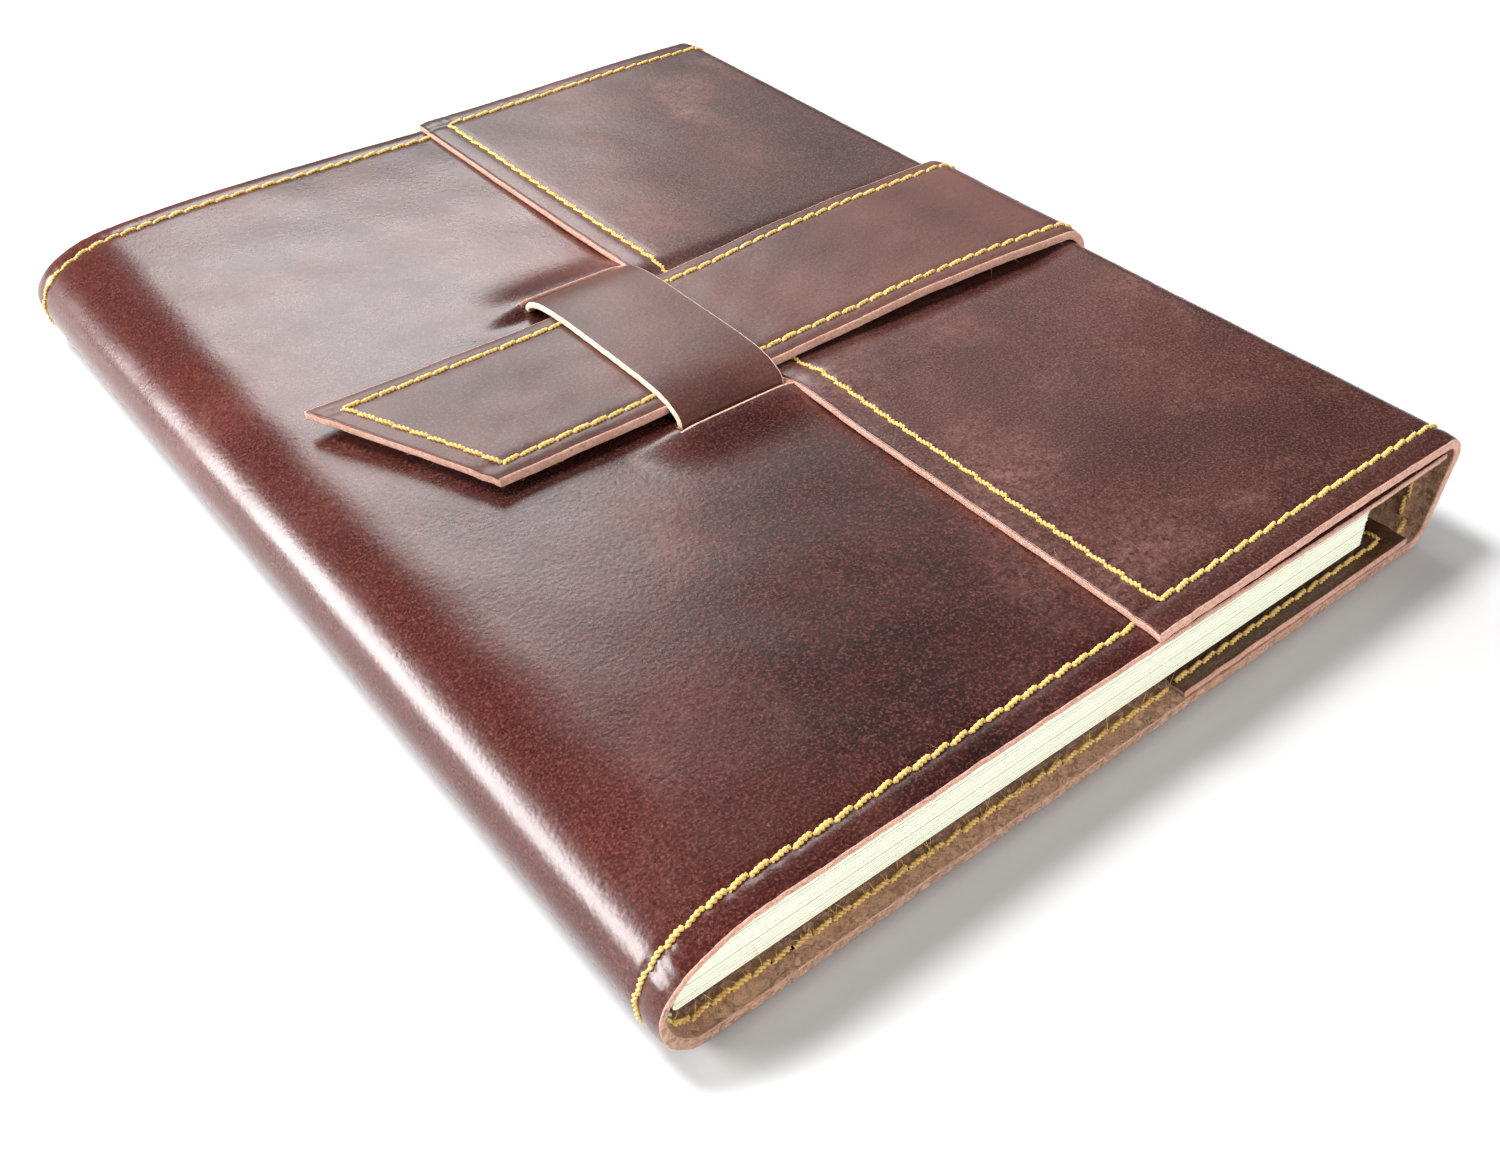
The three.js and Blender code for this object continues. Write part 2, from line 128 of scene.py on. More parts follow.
keeper_low, keeper_high = node_box("keeper_band")
KEEPER_X = middle(keeper_low, keeper_high, 0)
KEEPER_Y = middle(keeper_low, keeper_high, 1)
KEEPER_HALF = 0.5 * (keeper_high[0] - keeper_low[0])
KEEPER_T = 1.2
SLIT_OFFSET = 25.5
SLIT_HALF = 0.9
LIP_RISE = 1.7
LIP_WEAR = 0.35
POCKET_T = 1.2


def to_world(points):
    return (np.asarray(points, float) + ORIGIN) * MM


def world_point(x, y, z):
    return tuple(float(v) for v in to_world([x, y, z]))


# ---- lines and numbers ----


LINE_STEP = 0.5


def unit(vectors):
    return vectors / np.linalg.norm(vectors, axis=-1, keepdims=True)


def arc_lengths(points):
    """Distance along a line from its first point to each of its points."""
    return np.concatenate([[0], np.cumsum(np.linalg.norm(np.diff(points, axis=0), axis=1))])


def resampled(s, lengths, values):
    return np.stack([np.interp(s, lengths, column) for column in values.T], -1)


class Path:
    """A line with its outward normals, read by arc length."""

    def __init__(self, *pieces):
        points = np.concatenate([p for p, _ in pieces])
        normals = np.concatenate([n for _, n in pieces])
        keep = np.diff(arc_lengths(points), prepend=-1) > 1e-6
        self.points, self.normals = points[keep], normals[keep]
        self.lengths = arc_lengths(self.points)
        self.length = self.lengths[-1]

    def at(self, s):
        return resampled(s, self.lengths, self.points), unit(resampled(s, self.lengths, self.normals))

    def x(self, s):
        return np.interp(s, self.lengths, self.points[:, 0])

    def beside(self, s, out):
        """The two coordinates of points that stand out from the line."""
        point, normal = self.at(s)
        return np.moveaxis(point + normal * out[..., None], -1, 0)

    def nearest(self, point):
        return self.lengths[np.argmin(np.linalg.norm(self.points - np.array(point), axis=1))]


def line(a, b, normal):
    count = max(2, int(math.dist(a, b) / LINE_STEP) + 1)
    t = np.linspace(0, 1, count)[:, None]
    points = np.array(a) * (1 - t) + np.array(b) * t
    return points, np.tile(np.array(normal, float), (count, 1))


def arc(centre, reach_x, reach_z, start, stop, count):
    angle = np.radians(np.linspace(start, stop, count))
    points = np.stack([centre[0] + reach_x * np.cos(angle), centre[1] + reach_z * np.sin(angle)], -1)
    normals = np.stack([np.cos(angle) / reach_x, np.sin(angle) / reach_z], -1)
    return points, unit(normals)


def normals_beside(points, side):
    """Normals of a bent line in a plane, on its right (side 1) or left (side -1)."""
    tangent = np.gradient(points, axis=0)
    return unit(side * np.stack([tangent[:, 1], -tangent[:, 0]], -1))


WAVES = 6


def ripple(u, v, wavelength, seed):
    """Smooth uneven waves, about -1 to 1, of one typical wavelength."""
    rng = np.random.default_rng(seed)
    total = np.zeros(np.broadcast(u, v).shape)
    for _ in range(WAVES):
        angle, phase = rng.uniform(0, 2 * math.pi, 2)
        k = 2 * math.pi / (wavelength * rng.uniform(0.7, 1.5))
        total += np.sin(k * (u * math.cos(angle) + v * math.sin(angle)) + phase)
    return total / math.sqrt(WAVES) * 0.8


def bump(distance, width):
    return np.exp(-((distance / width) ** 2))


def smooth(value, low, high):
    t = np.clip((value - low) / (high - low), 0, 1)
    return t * t * (3 - 2 * t)


def between(value, rise, full, fall, none):
    """0 before rise, 1 from full to fall and 0 past none, with smooth flanks."""
    return smooth(value, rise, full) * (1 - smooth(value, fall, none))


def both_ends(low, high, near, far, step):
    """A fine stretch at each end of the span from low to high, for grid_line."""
    return [(low + near, low + far, step), (high - far, high - near, step)]


def grid_line(start, stop, step, exact=(), dense=()):
    """Values from start to stop about a step apart, with some given exactly and some stretches finer."""
    values = list(np.linspace(start, stop, int((stop - start) / step) + 1))
    for low, high, fine in dense:
        values = [v for v in values if not low < v < high]
        values += list(np.linspace(low, high, int(round((high - low) / fine)) + 1))
    values = [v for v in values if all(abs(v - e) > 0.25 * step for e in exact)]
    values = np.unique(np.round([*values, *exact], 5))
    inside = (values > start + 1e-3) & (values < stop - 1e-3)
    return np.concatenate([[start], values[inside], [stop]])


# ---- meshes ----


def loop_quads(grid):
    """Quads between each closed loop of point numbers and the next."""
    following = np.roll(grid, -1, axis=1)
    return np.stack([grid[:-1], following[:-1], following[1:], grid[1:]], -1)


def turned_out(vertices, faces):
    """The same quads, all reversed if together they enclose a negative volume."""
    a, b, c, d = (vertices[faces[:, k]] for k in range(4))
    volume = np.einsum("ij,ij->", a, np.cross(b, c) + np.cross(c, d))
    return (faces if volume > 0 else faces[:, ::-1]).tolist()


def edited(mesh, change):
    """Run change on the mesh's editable copy and write it back."""
    work = bmesh.new()
    work.from_mesh(mesh)
    change(work)
    work.to_mesh(mesh)
    work.free()


def new_object(name, vertices, faces, materials, kinds, smooth_faces=True):
    """A mesh object from millimetre vertices; kinds are the faces' material numbers."""
    mesh = bpy.data.meshes.new(name)
    mesh.from_pydata(to_world(vertices).tolist(), [], faces)
    for material in materials:
        mesh.materials.append(material)
    mesh.polygons.foreach_set("material_index", np.array(kinds, np.int32))
    mesh.polygons.foreach_set("use_smooth", np.full(len(faces), smooth_faces))
    mesh.update()
    obj = bpy.data.objects.new(name, mesh)
    bpy.context.scene.collection.objects.link(obj)
    return obj


# the materials of a sheet; a butt end meets the next piece of the same hide and looks like grain
GRAIN, CUT, FLESH, BUTT = range(4)
EDGE_ROUND = 0.32
RIM = 4


def join_and_crease(work):
    """Join doubled points, keep the rim of each butt end sharp, and give butt ends the grain."""
    bmesh.ops.remove_doubles(work, verts=work.verts, dist=2e-6)
    for edge in work.edges:
        edge.smooth = len({face.material_index == BUTT for face in edge.link_faces}) < 2
    for face in work.faces:
        if face.material_index == BUTT:
            face.material_index = GRAIN


def rounded(radius):
    """How far two points that round a cut corner lie back from its two faces."""
    angles = np.radians([45, 90])
    return radius * (1 - np.sin(angles)), radius * (1 - np.cos(angles))


def sheet_loop(columns, radius, thickness):
    """One loop round a sheet's section: columns, places across, depths and materials."""
    first, last = columns[0], columns[-1]
    w = np.clip(columns, first + radius, last - radius)
    inset, depth = rounded(radius)
    inset = np.concatenate([inset, inset[::-1]])
    depth = np.concatenate([depth, thickness - depth[::-1]])
    loop_w = np.concatenate([w, last - inset, w[::-1], (first + inset)[::-1]])
    loop_d = np.concatenate([0 * w, depth, 0 * w + thickness, depth[::-1]])
    kinds = np.repeat([GRAIN, CUT, FLESH, CUT], [len(w) - 1, RIM + 1, len(w) - 1, RIM + 1])
    return w, loop_w, loop_d, kinds


def sheet_rings(rows, radius, round_start, round_end):
    """Where the loops stand along the sheet, and how far each is drawn in to round an end."""
    shift, inset = rounded(radius)
    body = np.array(rows, float)
    body[0] += radius * round_start
    body[-1] -= radius * round_end
    parts = [(rows[0] + shift[::-1], inset[::-1])] * round_start + [(body, 0 * body)]
    parts += [(rows[-1] - shift, inset)] * round_end
    return [np.concatenate(values) for values in zip(*parts)]


def slit_walls(open_cell, outer, inner):
    """Quads that close the cut sides of the open cells."""
    walls = []
    for i, j in zip(*np.nonzero(open_cell)):
        a, b, c, d = (i, j), (i, j + 1), (i + 1, j + 1), (i + 1, j)
        sides = (((i - 1, j), a, b), ((i, j + 1), b, c), ((i + 1, j), c, d), ((i, j - 1), d, a))
        for near, start, stop in sides:
            if not open_cell[near]:
                walls.append([outer[start], outer[stop], inner[stop], inner[start]])
    return np.array(walls)


def end_cap(ring, n, is_rounded):
    """Quads that close one end of a sheet, from the point numbers of its last loop."""
    outer = ring[:n]
    inner = ring[n + RIM : 2 * n + RIM][::-1]
    quads = np.stack([outer[:-1], outer[1:], inner[1:], inner[:-1]], -1)
    if is_rounded:
        return quads, np.full(len(quads), CUT)
    far, near = ring[n : n + RIM], ring[2 * n + RIM :]
    far_side = [outer[-1], far[0], far[-1], inner[-1]]
    near_side = [inner[0], near[0], near[-1], outer[0]]
    quads = np.concatenate([quads, [far_side, far, near_side, near]])
    return quads, np.full(len(quads), BUTT)


def sheet(
    name, rows, columns, place, thickness, materials, round_start=True, round_end=True,
    hole=None, rough=None, worn=None,
):
    """A sheet of leather or card with rounded cut edges.

    rows run along the sheet, columns across it, and place(s, w, depth) gives a point for each.
    materials are those of the outer face, the cut edge and the inner face. hole(s, w) says which
    cells are left open, worn(s, w) where the grain is rubbed through, and rough(s) where the cut
    edge is as matted as the inner face.
    """
    radius = min(EDGE_ROUND, thickness * 0.3)
    w, loop_w, loop_d, loop_kinds = sheet_loop(columns, radius, thickness)
    ring_s, inset = sheet_rings(rows, radius, round_start, round_end)
    n, shape, inset = len(w), (len(ring_s), len(loop_w)), inset[:, None]
    grid_w = np.clip(np.broadcast_to(loop_w, shape), columns[0] + inset, columns[-1] - inset)
    grid_d = np.clip(np.broadcast_to(loop_d, shape), inset, thickness - inset)
    points = place(np.broadcast_to(ring_s[:, None], shape), grid_w, grid_d)

    index = np.arange(grid_w.size).reshape(shape)
    faces = loop_quads(index)
    kinds = np.broadcast_to(loop_kinds, faces.shape[:2]).copy()
    shown = np.ones(kinds.shape, bool)
    mid_s = 0.5 * (ring_s[:-1] + ring_s[1:])[:, None]
    mid_w = 0.5 * (w[:-1] + w[1:])[None, :]
    if rough is not None:
        matted = [*range(n + 1, n + RIM), *range(2 * n + RIM, 2 * n + RIM + 3)]
        kinds[:, matted] = np.where(rough(mid_s), FLESH, kinds[:, matted])
    if worn is not None:
        kinds[:, : n - 1] = np.where(worn(mid_s, mid_w), CUT, GRAIN)
    walls = np.zeros((0, 4), int)
    if hole is not None:
        open_cell = hole(mid_s, mid_w)
        shown[:, : n - 1] &= ~open_cell
        shown[:, n + RIM : 2 * n + RIM - 1] &= ~open_cell[:, ::-1]
        walls = slit_walls(open_cell, index[:, :n], index[:, n + RIM : 2 * n + RIM][:, ::-1])
    start_cap, start_kinds = end_cap(index[0], n, round_start)
    stop_cap, stop_kinds = end_cap(index[-1], n, round_end)
    all_faces = np.concatenate([faces[shown], start_cap[:, ::-1], stop_cap, walls])
    all_kinds = np.concatenate([kinds[shown], start_kinds, stop_kinds, np.full(len(walls), CUT)])
    points = points.reshape(-1, 3)
    obj = new_object(name, points, turned_out(points, all_faces), materials, all_kinds)
    edited(obj.data, join_and_crease)
    return obj


# ---- materials ----

# the colour sockets of a Mix node
MIX_A, MIX_B, MIX_RESULT = 6, 7, 2


class Shader:
    """A node material written as short calls."""

    def __init__(self, name):
        self.material = bpy.data.materials.new(name)
        self.material.use_nodes = True
        self.tree = self.material.node_tree
        self.tree.nodes.clear()
        self.surface = self.node("BsdfPrincipled")
        self.node("OutputMaterial", Surface=self.surface.outputs[0])
        self.place = self.node("TexCoord").outputs["Object"]

    def node(self, kind, **inputs):
        node = self.tree.nodes.new("ShaderNode" + kind)
        for name, value in inputs.items():
            self.put(value, node.inputs[name.replace("_", " ")])
        return node

    def put(self, value, socket):
        if isinstance(value, bpy.types.NodeSocket):
            self.tree.links.new(value, socket)
        else:
            socket.default_value = value

    def scaled(self, x, y, z):
        return self.node("Mapping", Vector=self.place, Scale=(x, y, z)).outputs[0]

    def noise(self, size, detail=4, roughness=0.55, distortion=0.0, vector=None):
        """size is the length of a typical feature in millimetres."""
        node = self.node("TexNoise", Vector=vector or self.place, Scale=1 / MM / size, Detail=detail)
        self.put(roughness, node.inputs["Roughness"])
        self.put(distortion, node.inputs["Distortion"])
        return node.outputs["Fac"]

    def ramp(self, factor, *stops):
        node = self.node("ValToRGB", Fac=factor)
        elements = node.color_ramp.elements
        while len(elements) < len(stops):
            elements.new(0.5)
        for element, (position, value) in zip(elements, stops):
            element.position = position
            element.color = (*(value if isinstance(value, tuple) else (value,) * 3), 1)
        return node.outputs["Color"]

    def math(self, operation, a, b):
        node = self.node("Math")
        node.operation = operation
        self.put(a, node.inputs[0])
        self.put(b, node.inputs[1])
        return node.outputs[0]

    def mix(self, factor, a, b):
        node = self.node("Mix")
        node.data_type = "RGBA"
        self.put(factor, node.inputs["Factor"])
        for value, number in ((a, MIX_A), (b, MIX_B)):
            self.put((*value, 1) if isinstance(value, tuple) else value, node.inputs[number])
        return node.outputs[MIX_RESULT]

    def tint(self, colour, other, pattern, none, full, share):
        """Mix other into colour, not at all where pattern is at none and by share where it is at full."""
        return self.mix(self.ramp(pattern, *sorted([(none, 0.0), (full, share)])), colour, other)

    def relief(self, height, depth_mm, strength=1.0, before=None):
        node = self.node("Bump", Strength=strength, Distance=depth_mm * MM, Height=height)
        if before:
            self.put(before, node.inputs["Normal"])
        return node.outputs["Normal"]

    def made(self, colour, roughness, **others):
        """The finished material, with its surface's sockets set."""
        for name, value in {"Base_Color": colour, "Roughness": roughness, **others}.items():
            self.put(value, self.surface.inputs[name.replace("_", " ")])
        return self.material


# painted shade: towards the spine the colour turns a deeper red, standing in for the shade band on the
# spine's shoulder; over this length, from this place on
SPINE_PAINTED_SHADE = 0.045
SPINE_PAINTED_SHADE_END = float(to_world([40, 0, 0])[0])
SPINE_PAINTED_SHADE_SHARE = 0.75


def grain_leather(name, dark, mid, red, roughness, scuffs, coat, speckle=1.0):
    """Glossy pull-up leather: faintly cloudy oxblood brown, fine speckled pores and soft rubs."""
    s = Shader(name)
    colour = s.ramp(s.noise(48, 3, 0.5), (0.34, dark), (0.52, mid), (0.72, red))
    colour = s.tint(colour, red, s.noise(15, 4, 0.6, 0.4), 0.48, 0.75, 0.4)
    # painted shade: the colour is mixed towards red near the spine, for the shade band on its shoulder
    x = s.node("SeparateXYZ", Vector=s.place).outputs["X"]
    to_spine = s.math("MULTIPLY", s.math("SUBTRACT", SPINE_PAINTED_SHADE_END, x), 1 / SPINE_PAINTED_SHADE)
    spine_shade = s.math("MINIMUM", s.math("MAXIMUM", to_spine, 0.0), 1.0)
    colour = s.mix(s.math("MULTIPLY", spine_shade, SPINE_PAINTED_SHADE_SHARE), colour, red)
    fleck = s.noise(0.42, 2, 0.6)
    pale = tuple(c * 2.4 + 0.035 for c in red)
    pore = tuple(c * 0.25 for c in dark)
    colour = s.tint(colour, pale, fleck, 0.52, 0.70, 0.45 * speckle)
    colour = s.tint(colour, pore, fleck, 0.48, 0.30, 0.70 * speckle)
    colour = s.tint(colour, (0.34, 0.20, 0.16), s.noise(1.6, 3, 0.7), 0.68, 0.80, 0.40)
    patches = s.ramp(s.noise(26, 5, 0.6, 0.3), (0.52, 0.0), (0.74, 1.0))
    rub = s.math("MULTIPLY", patches, s.ramp(s.noise(1.3, 4, 0.75), (0.40, 0.0), (0.70, 1.0)))
    colour = s.mix(s.math("MULTIPLY", rub, scuffs), colour, (0.30, 0.15, 0.12))
    rough = s.ramp(s.noise(9, 5, 0.65), (0.3, roughness - 0.02), (0.7, roughness + 0.03))
    rough = s.math("ADD", rough, s.math("MULTIPLY", rub, 0.08))
    pebbles = s.node("TexVoronoi", Vector=s.place, Scale=1 / MM / 1.2)
    pebbles.feature = "SMOOTH_F1"
    normal = s.relief(pebbles.outputs["Distance"], 0.05, 0.35)
    normal = s.relief(s.noise(0.7, 1, 0.4), 0.05, 0.55, normal)
    shine = dict(Specular_IOR_Level=0.42, Coat_Weight=coat, Coat_Roughness=0.24)
    return s.made(colour, rough, Normal=normal, **shine)


def flesh_leather():
    """The rough underside: matted fibres."""
    s = Shader("flesh_side")
    fibres = s.noise(1.3, 5, 0.8, 1.2)
    colour = s.ramp(fibres, (0.42, (0.29, 0.135, 0.073)), (0.57, (0.76, 0.45, 0.285)))
    colour = s.tint(colour, (0.646, 0.342, 0.2166), s.noise(6, 4, 0.6), 0.40, 0.65, 0.55)
    normal = s.relief(s.noise(0.35, 2, 0.6), 0.12, 0.7, s.relief(fibres, 0.7))
    nap = dict(Sheen_Weight=0.25, Sheen_Roughness=0.6)
    return s.made(colour, 0.92, Normal=normal, Specular_IOR_Level=0.2, **nap)


def cut_leather(name, light, dark):
    """A raw cut edge: pale, slightly pink, torn fibres in thin layers."""
    s = Shader(name)
    torn = s.noise(0.55, 6, 0.75, 0.8)
    colour = s.tint(s.ramp(torn, (0.32, dark), (0.58, light)), dark, s.noise(5, 3, 0.6), 0.4, 0.75, 0.45)
    normal = s.relief(torn, 0.22, 0.8)
    return s.made(colour, 0.85, Normal=normal, Specular_IOR_Level=0.25, Sheen_Weight=0.15)


def thread_material():
    s = Shader("waxed_thread")
    colour = s.ramp(s.noise(0.5, 4, 0.7), (0.32, (0.44, 0.24, 0.05)), (0.62, (0.88, 0.62, 0.21)))
    colour = s.tint(colour, (0.76, 0.50, 0.15), s.noise(6, 3, 0.6), 0.4, 0.8, 0.5)
    normal = s.relief(s.noise(0.16, 3, 0.7), 0.05, 0.7)
    return s.made(colour, 0.48, Normal=normal, Sheen_Weight=0.3, Sheen_Roughness=0.4)


def paper_material():
    s = Shader("cream_paper")
    layers = s.noise(0.35, 3, 0.6, vector=s.scaled(0.02, 0.02, 1.0))
    fibres = s.noise(0.8, 5, 0.7)
    colour = s.ramp(layers, (0.3, (0.93, 0.96, 0.78)), (0.6, (0.96, 0.99, 0.84)))
    colour = s.tint(colour, (0.88, 0.90, 0.72), fibres, 0.4, 0.75, 0.2)
    return s.made(colour, 0.85, Normal=s.relief(fibres, 0.03, 0.4), Specular_IOR_Level=0.25)


def board_material():
    s = Shader("kraft_card")
    fibres = s.noise(1.1, 6, 0.8, 1.0)
    colour = s.ramp(fibres, (0.3, (0.33, 0.23, 0.14)), (0.68, (0.52, 0.39, 0.25)))
    return s.made(colour, 0.85, Normal=s.relief(fibres, 0.05, 0.5), Specular_IOR_Level=0.25)


def tape_material():
    s = Shader("binding_cloth")
    warp = s.noise(0.5, 2, vector=s.scaled(1, 0.1, 1))
    weave = s.math("MULTIPLY", warp, s.noise(0.5, 2, vector=s.scaled(0.1, 1, 0.1)))
    colour = s.ramp(weave, (0.12, (0.42, 0.40, 0.34)), (0.4, (0.74, 0.71, 0.62)))
    return s.made(colour, 0.9, Normal=s.relief(weave, 0.08, 0.7))


def plain_material(name, size, dark, light, roughness, **others):
    s = Shader(name)
    return s.made(s.ramp(s.noise(size, 2), (0.3, dark), (0.7, light)), roughness, **others)


grain = grain_leather(
    "oxblood_grain", (0.022, 0.0076, 0.0066), (0.039, 0.0110, 0.0090), (0.080, 0.0145, 0.0102),
    0.27, 0.3, 0.12,
)
flap_grain = grain_leather(
    "flap_grain", (0.027, 0.0102, 0.0086), (0.050, 0.0178, 0.0146), (0.084, 0.0262, 0.0205),
    0.33, 0.6, 0.1,
)
# partly painted sheen: on top of their own oxblood tone, the strap and keeper base colours are made lighter
# to stand for the sheen on their raised tops
strap_grain_with_sheen = grain_leather(
    "strap_grain_with_sheen", (0.048, 0.0195, 0.0165), (0.092, 0.038, 0.031), (0.126, 0.051, 0.039),
    0.40, 0.2, 0.1, 0.4,
)
pocket_grain = grain_leather(
    "pocket_grain", (0.034, 0.014, 0.0095), (0.068, 0.029, 0.017), (0.110, 0.046, 0.026),
    0.46, 0.3, 0.15,
)
flesh = flesh_leather()
cut_edge = cut_leather("cut_edge", (0.74, 0.45, 0.345), (0.42, 0.19, 0.135))
# painted light: the keeper's cut edge is paler than the other cut edges, for the light that falls on it
keeper_edge_lit = cut_leather("keeper_cut_edge_lit", (0.95, 0.74, 0.55), (0.66, 0.40, 0.27))
thread = thread_material()
# painted shade: near-black domes stand for the shade inside the stitch holes
hole_painted_shade = plain_material(
    "awl_hole_shade", 0.4, (0.004, 0.002, 0.002), (0.02, 0.008, 0.006), 0.9, Specular_IOR_Level=0.1,
)
paper = paper_material()
board = board_material()
tape_cloth = tape_material()
HIDE = [grain, cut_edge, flesh]
FLAP = [flap_grain, cut_edge, flesh]
STRAP = [strap_grain_with_sheen, cut_edge, flesh]
POCKET = [pocket_grain, cut_edge, flesh]

# ---- the hide ----

BACK_SPLIT_X = 24
WALL_MIDDLE = (168.05, 9.9)
hide_path = Path(
    line((FRONT_CUT_X, PANEL_TOP), (SPINE_UPPER_X, PANEL_TOP), (0, 1)),
    arc((SPINE_UPPER_X, SPINE_Z), SPINE_UPPER_X, PANEL_TOP - SPINE_Z, 90, 180, 60),
    arc((SPINE_LOWER_X, SPINE_Z), SPINE_LOWER_X, SPINE_Z, 180, 270, 40),
    line((SPINE_LOWER_X, 0), (LOWER_FOLD[0], 0), (0, -1)),
    arc(LOWER_FOLD, FOLD_R, FOLD_R, -90, WALL_LEAN, 24),
    arc(UPPER_FOLD, FOLD_R, FOLD_R, WALL_LEAN, 90, 32),
    line((UPPER_FOLD[0], FLAP_TOP), (FLAP_CUT_X, FLAP_TOP), (0, 1)),
)
S_SPINE_TOP = hide_path.nearest((SPINE_UPPER_X, PANEL_TOP))
S_SPINE_MID = hide_path.nearest((0, SPINE_Z))
S_BACK_START = hide_path.nearest((SPINE_LOWER_X, 0))
S_BACK_SPLIT = hide_path.nearest((BACK_SPLIT_X, 0))
S_LOWER_FOLD = hide_path.nearest((LOWER_FOLD[0], 0))
S_WALL_SPLIT = hide_path.nearest(WALL_MIDDLE)
S_FLAP_START = hide_path.nearest((UPPER_FOLD[0], FLAP_TOP))
S_END = hide_path.length

# how far the surface sinks in each of these places, in millimetres
GROOVE = 0.30
EDGE_DROP = 0.30
SLIT_DIMPLE = 0.22
BED_UNDER_STRAP = 0.84
PANEL_UNDER_STRAP = 0.64
FREE_EDGE_DROP = 0.55
# the share of its thickness that the hide loses at a thinned edge
SKIVED_SHARE = 0.50
# how far in from a cut edge the surface is uneven, in millimetres
FRAY_REACH = 2.2


def edge_distance(y):
    return np.minimum(y, HEIGHT - y)


def puckers(along, depth=0.25):
    """The seam's groove is deepest under the middle of each stitch."""
    return 1 - depth + depth * np.cos(2 * math.pi * along / PITCH)


def keeper_pull(x, y):
    """The keeper pulls up the outer lips of its slits and dimples the panel beside their ends."""
    total = 0
    along = between(x, keeper_low[0] - 12, keeper_low[0] + 3, keeper_high[0] - 2, keeper_high[0] + 8)
    for sign in (-1, 1):
        slit_y = KEEPER_Y + sign * SLIT_OFFSET
        across = (y - slit_y) * sign
        lip = LIP_RISE * np.where(across > 0, bump(across - 0.6, 6.5), bump(across, 1.6)) * along
        dimple = bump(np.hypot((x - keeper_low[0] + 10) / 1.4, (y - slit_y) / 1.6), 5.5)
        total = total + lip - SLIT_DIMPLE * dimple
    return total


def front_lift(x, y):
    """The front panel: raised beneath the strap, sunk beneath the flap, arched at the head."""
    raised = 0.55 * between(x, 16, 30, FLAP_CUT_X - 4, FLAP_CUT_X + 2)
    pressed = PANEL_UNDER_STRAP * smooth(x, FLAP_CUT_X - 4, FLAP_CUT_X + 4)
    arch = smooth(y, 130, 218) * (1.0 * bump(x - 52, 42) - 0.7 * bump(x - 12, 15))
    under_strap = bump(y - STRAP_Y, 22) * (raised - pressed)
    return keeper_pull(x, y) + under_strap + arch - FREE_EDGE_DROP * smooth(x, 112, 150)


def flap_lift(s, x, y):
    """The flap: the strap presses a bed into it, and it stands up on both sides of the bed."""
    off_strap = np.abs(y - STRAP_Y)
    bed = BED_UNDER_STRAP * (1 - smooth(off_strap, 20.5, 26))
    beside = 0.40 * bump(off_strap - 29, 9) * smooth(s, S_END - 34, S_END)
    slack = 0.35 * bump(edge_distance(y), 26) * bump(x - 140, 22)
    return beside - bed + slack + 0.10 * ripple(s, y, 34, 11)


def hide_lift(s, y):
    """How far the hide stands out from its plain profile, in millimetres."""
    x = hide_path.x(s)
    edge = edge_distance(y)
    beneath = between(s, S_BACK_START - 3, S_BACK_START + 6, S_LOWER_FOLD, S_LOWER_FOLD + 5)
    free = 1 - beneath
    waves = (0.16 * ripple(s, y, 80, 3) + 0.04 * ripple(s, y, 19, 5)) * free - 0.12 * beneath
    crinkle = 0.06 * bump(edge - 2.2, 2.4) * smooth(s, S_SPINE_TOP - 8, S_SPINE_TOP + 4)
    crinkle = crinkle * free * ripple(s, y * 0.35, 2.3, 15)
    groove = GROOVE * bump(edge - SEAM, 1.0) * puckers(s) + EDGE_DROP * bump(edge, 1.4) * free
    on_front = smooth(S_SPINE_MID - s, -6, 6)
    on_flap = smooth(s, S_FLAP_START - 4, S_FLAP_START + 12)
    return waves + crinkle - groove + on_front * front_lift(x, y) + on_flap * flap_lift(s, x, y)


def stray(edge, along, seed):
    """How far a knife-cut edge strays from straight; it fades out with the distance from the edge."""
    waves = ((0.09, 70), (0.035, 7), (0.04, 2.6))
    heights = [h * ripple(along, along * 0, length, seed + k) for k, (h, length) in enumerate(waves)]
    return bump(edge, FRAY_REACH) * sum(heights)


def place_hide(s, y, depth):
    near_edge = 1 - smooth(edge_distance(y), 0.4, 5.0)
    skived = (1 - smooth(s, S_SPINE_MID - 4, S_SPINE_MID + 8)) * near_edge
    x, z = hide_path.beside(s, hide_lift(s, y) - depth * (1 - SKIVED_SHARE * skived))
    return np.stack([x, y + stray(edge_distance(y), s, 21), z], -1)


def place_flap(s, y, depth):
    """The flap, with a groove along the seam beside its cut edge and a slightly uneven cut."""
    spot = place_hide(s, y, depth)
    inside = smooth(edge_distance(y), SEAM - 1.2, SEAM)
    spot[..., 2] -= GROOVE * bump(S_END - s - SEAM, 1.0) * inside * puckers(y)
    spot[..., 2] -= 0.25 * bump(S_END - s, 1.4)
    spot[..., 0] += stray(S_END - s, y, 31)
    return spot


# cells are a third of a stitch, finer along seams and cut edges
STEP = PITCH / 3
SEAM_CELLS = (3.2, 6.8, 0.45)
EDGE_CELLS = (0, 1.2, 0.4)
dense_y = both_ends(0, HEIGHT, *SEAM_CELLS) + both_ends(0, HEIGHT, *EDGE_CELLS)
lip_lines = [-SLIT_HALF, SLIT_HALF, SLIT_HALF + LIP_WEAR]
slit_lines = [KEEPER_Y + a * (SLIT_OFFSET + b) for a in (-1, 1) for b in lip_lines]
plain_columns = grid_line(0, HEIGHT, STEP, dense=dense_y)
front_columns = grid_line(0, HEIGHT, STEP, exact=slit_lines, dense=dense_y)
s_slit = (FRONT_CUT_X - keeper_high[0] - 0.7, FRONT_CUT_X - keeper_low[0] + 0.7)


def off_slit(y):
    return np.abs(y - KEEPER_Y) - SLIT_OFFSET


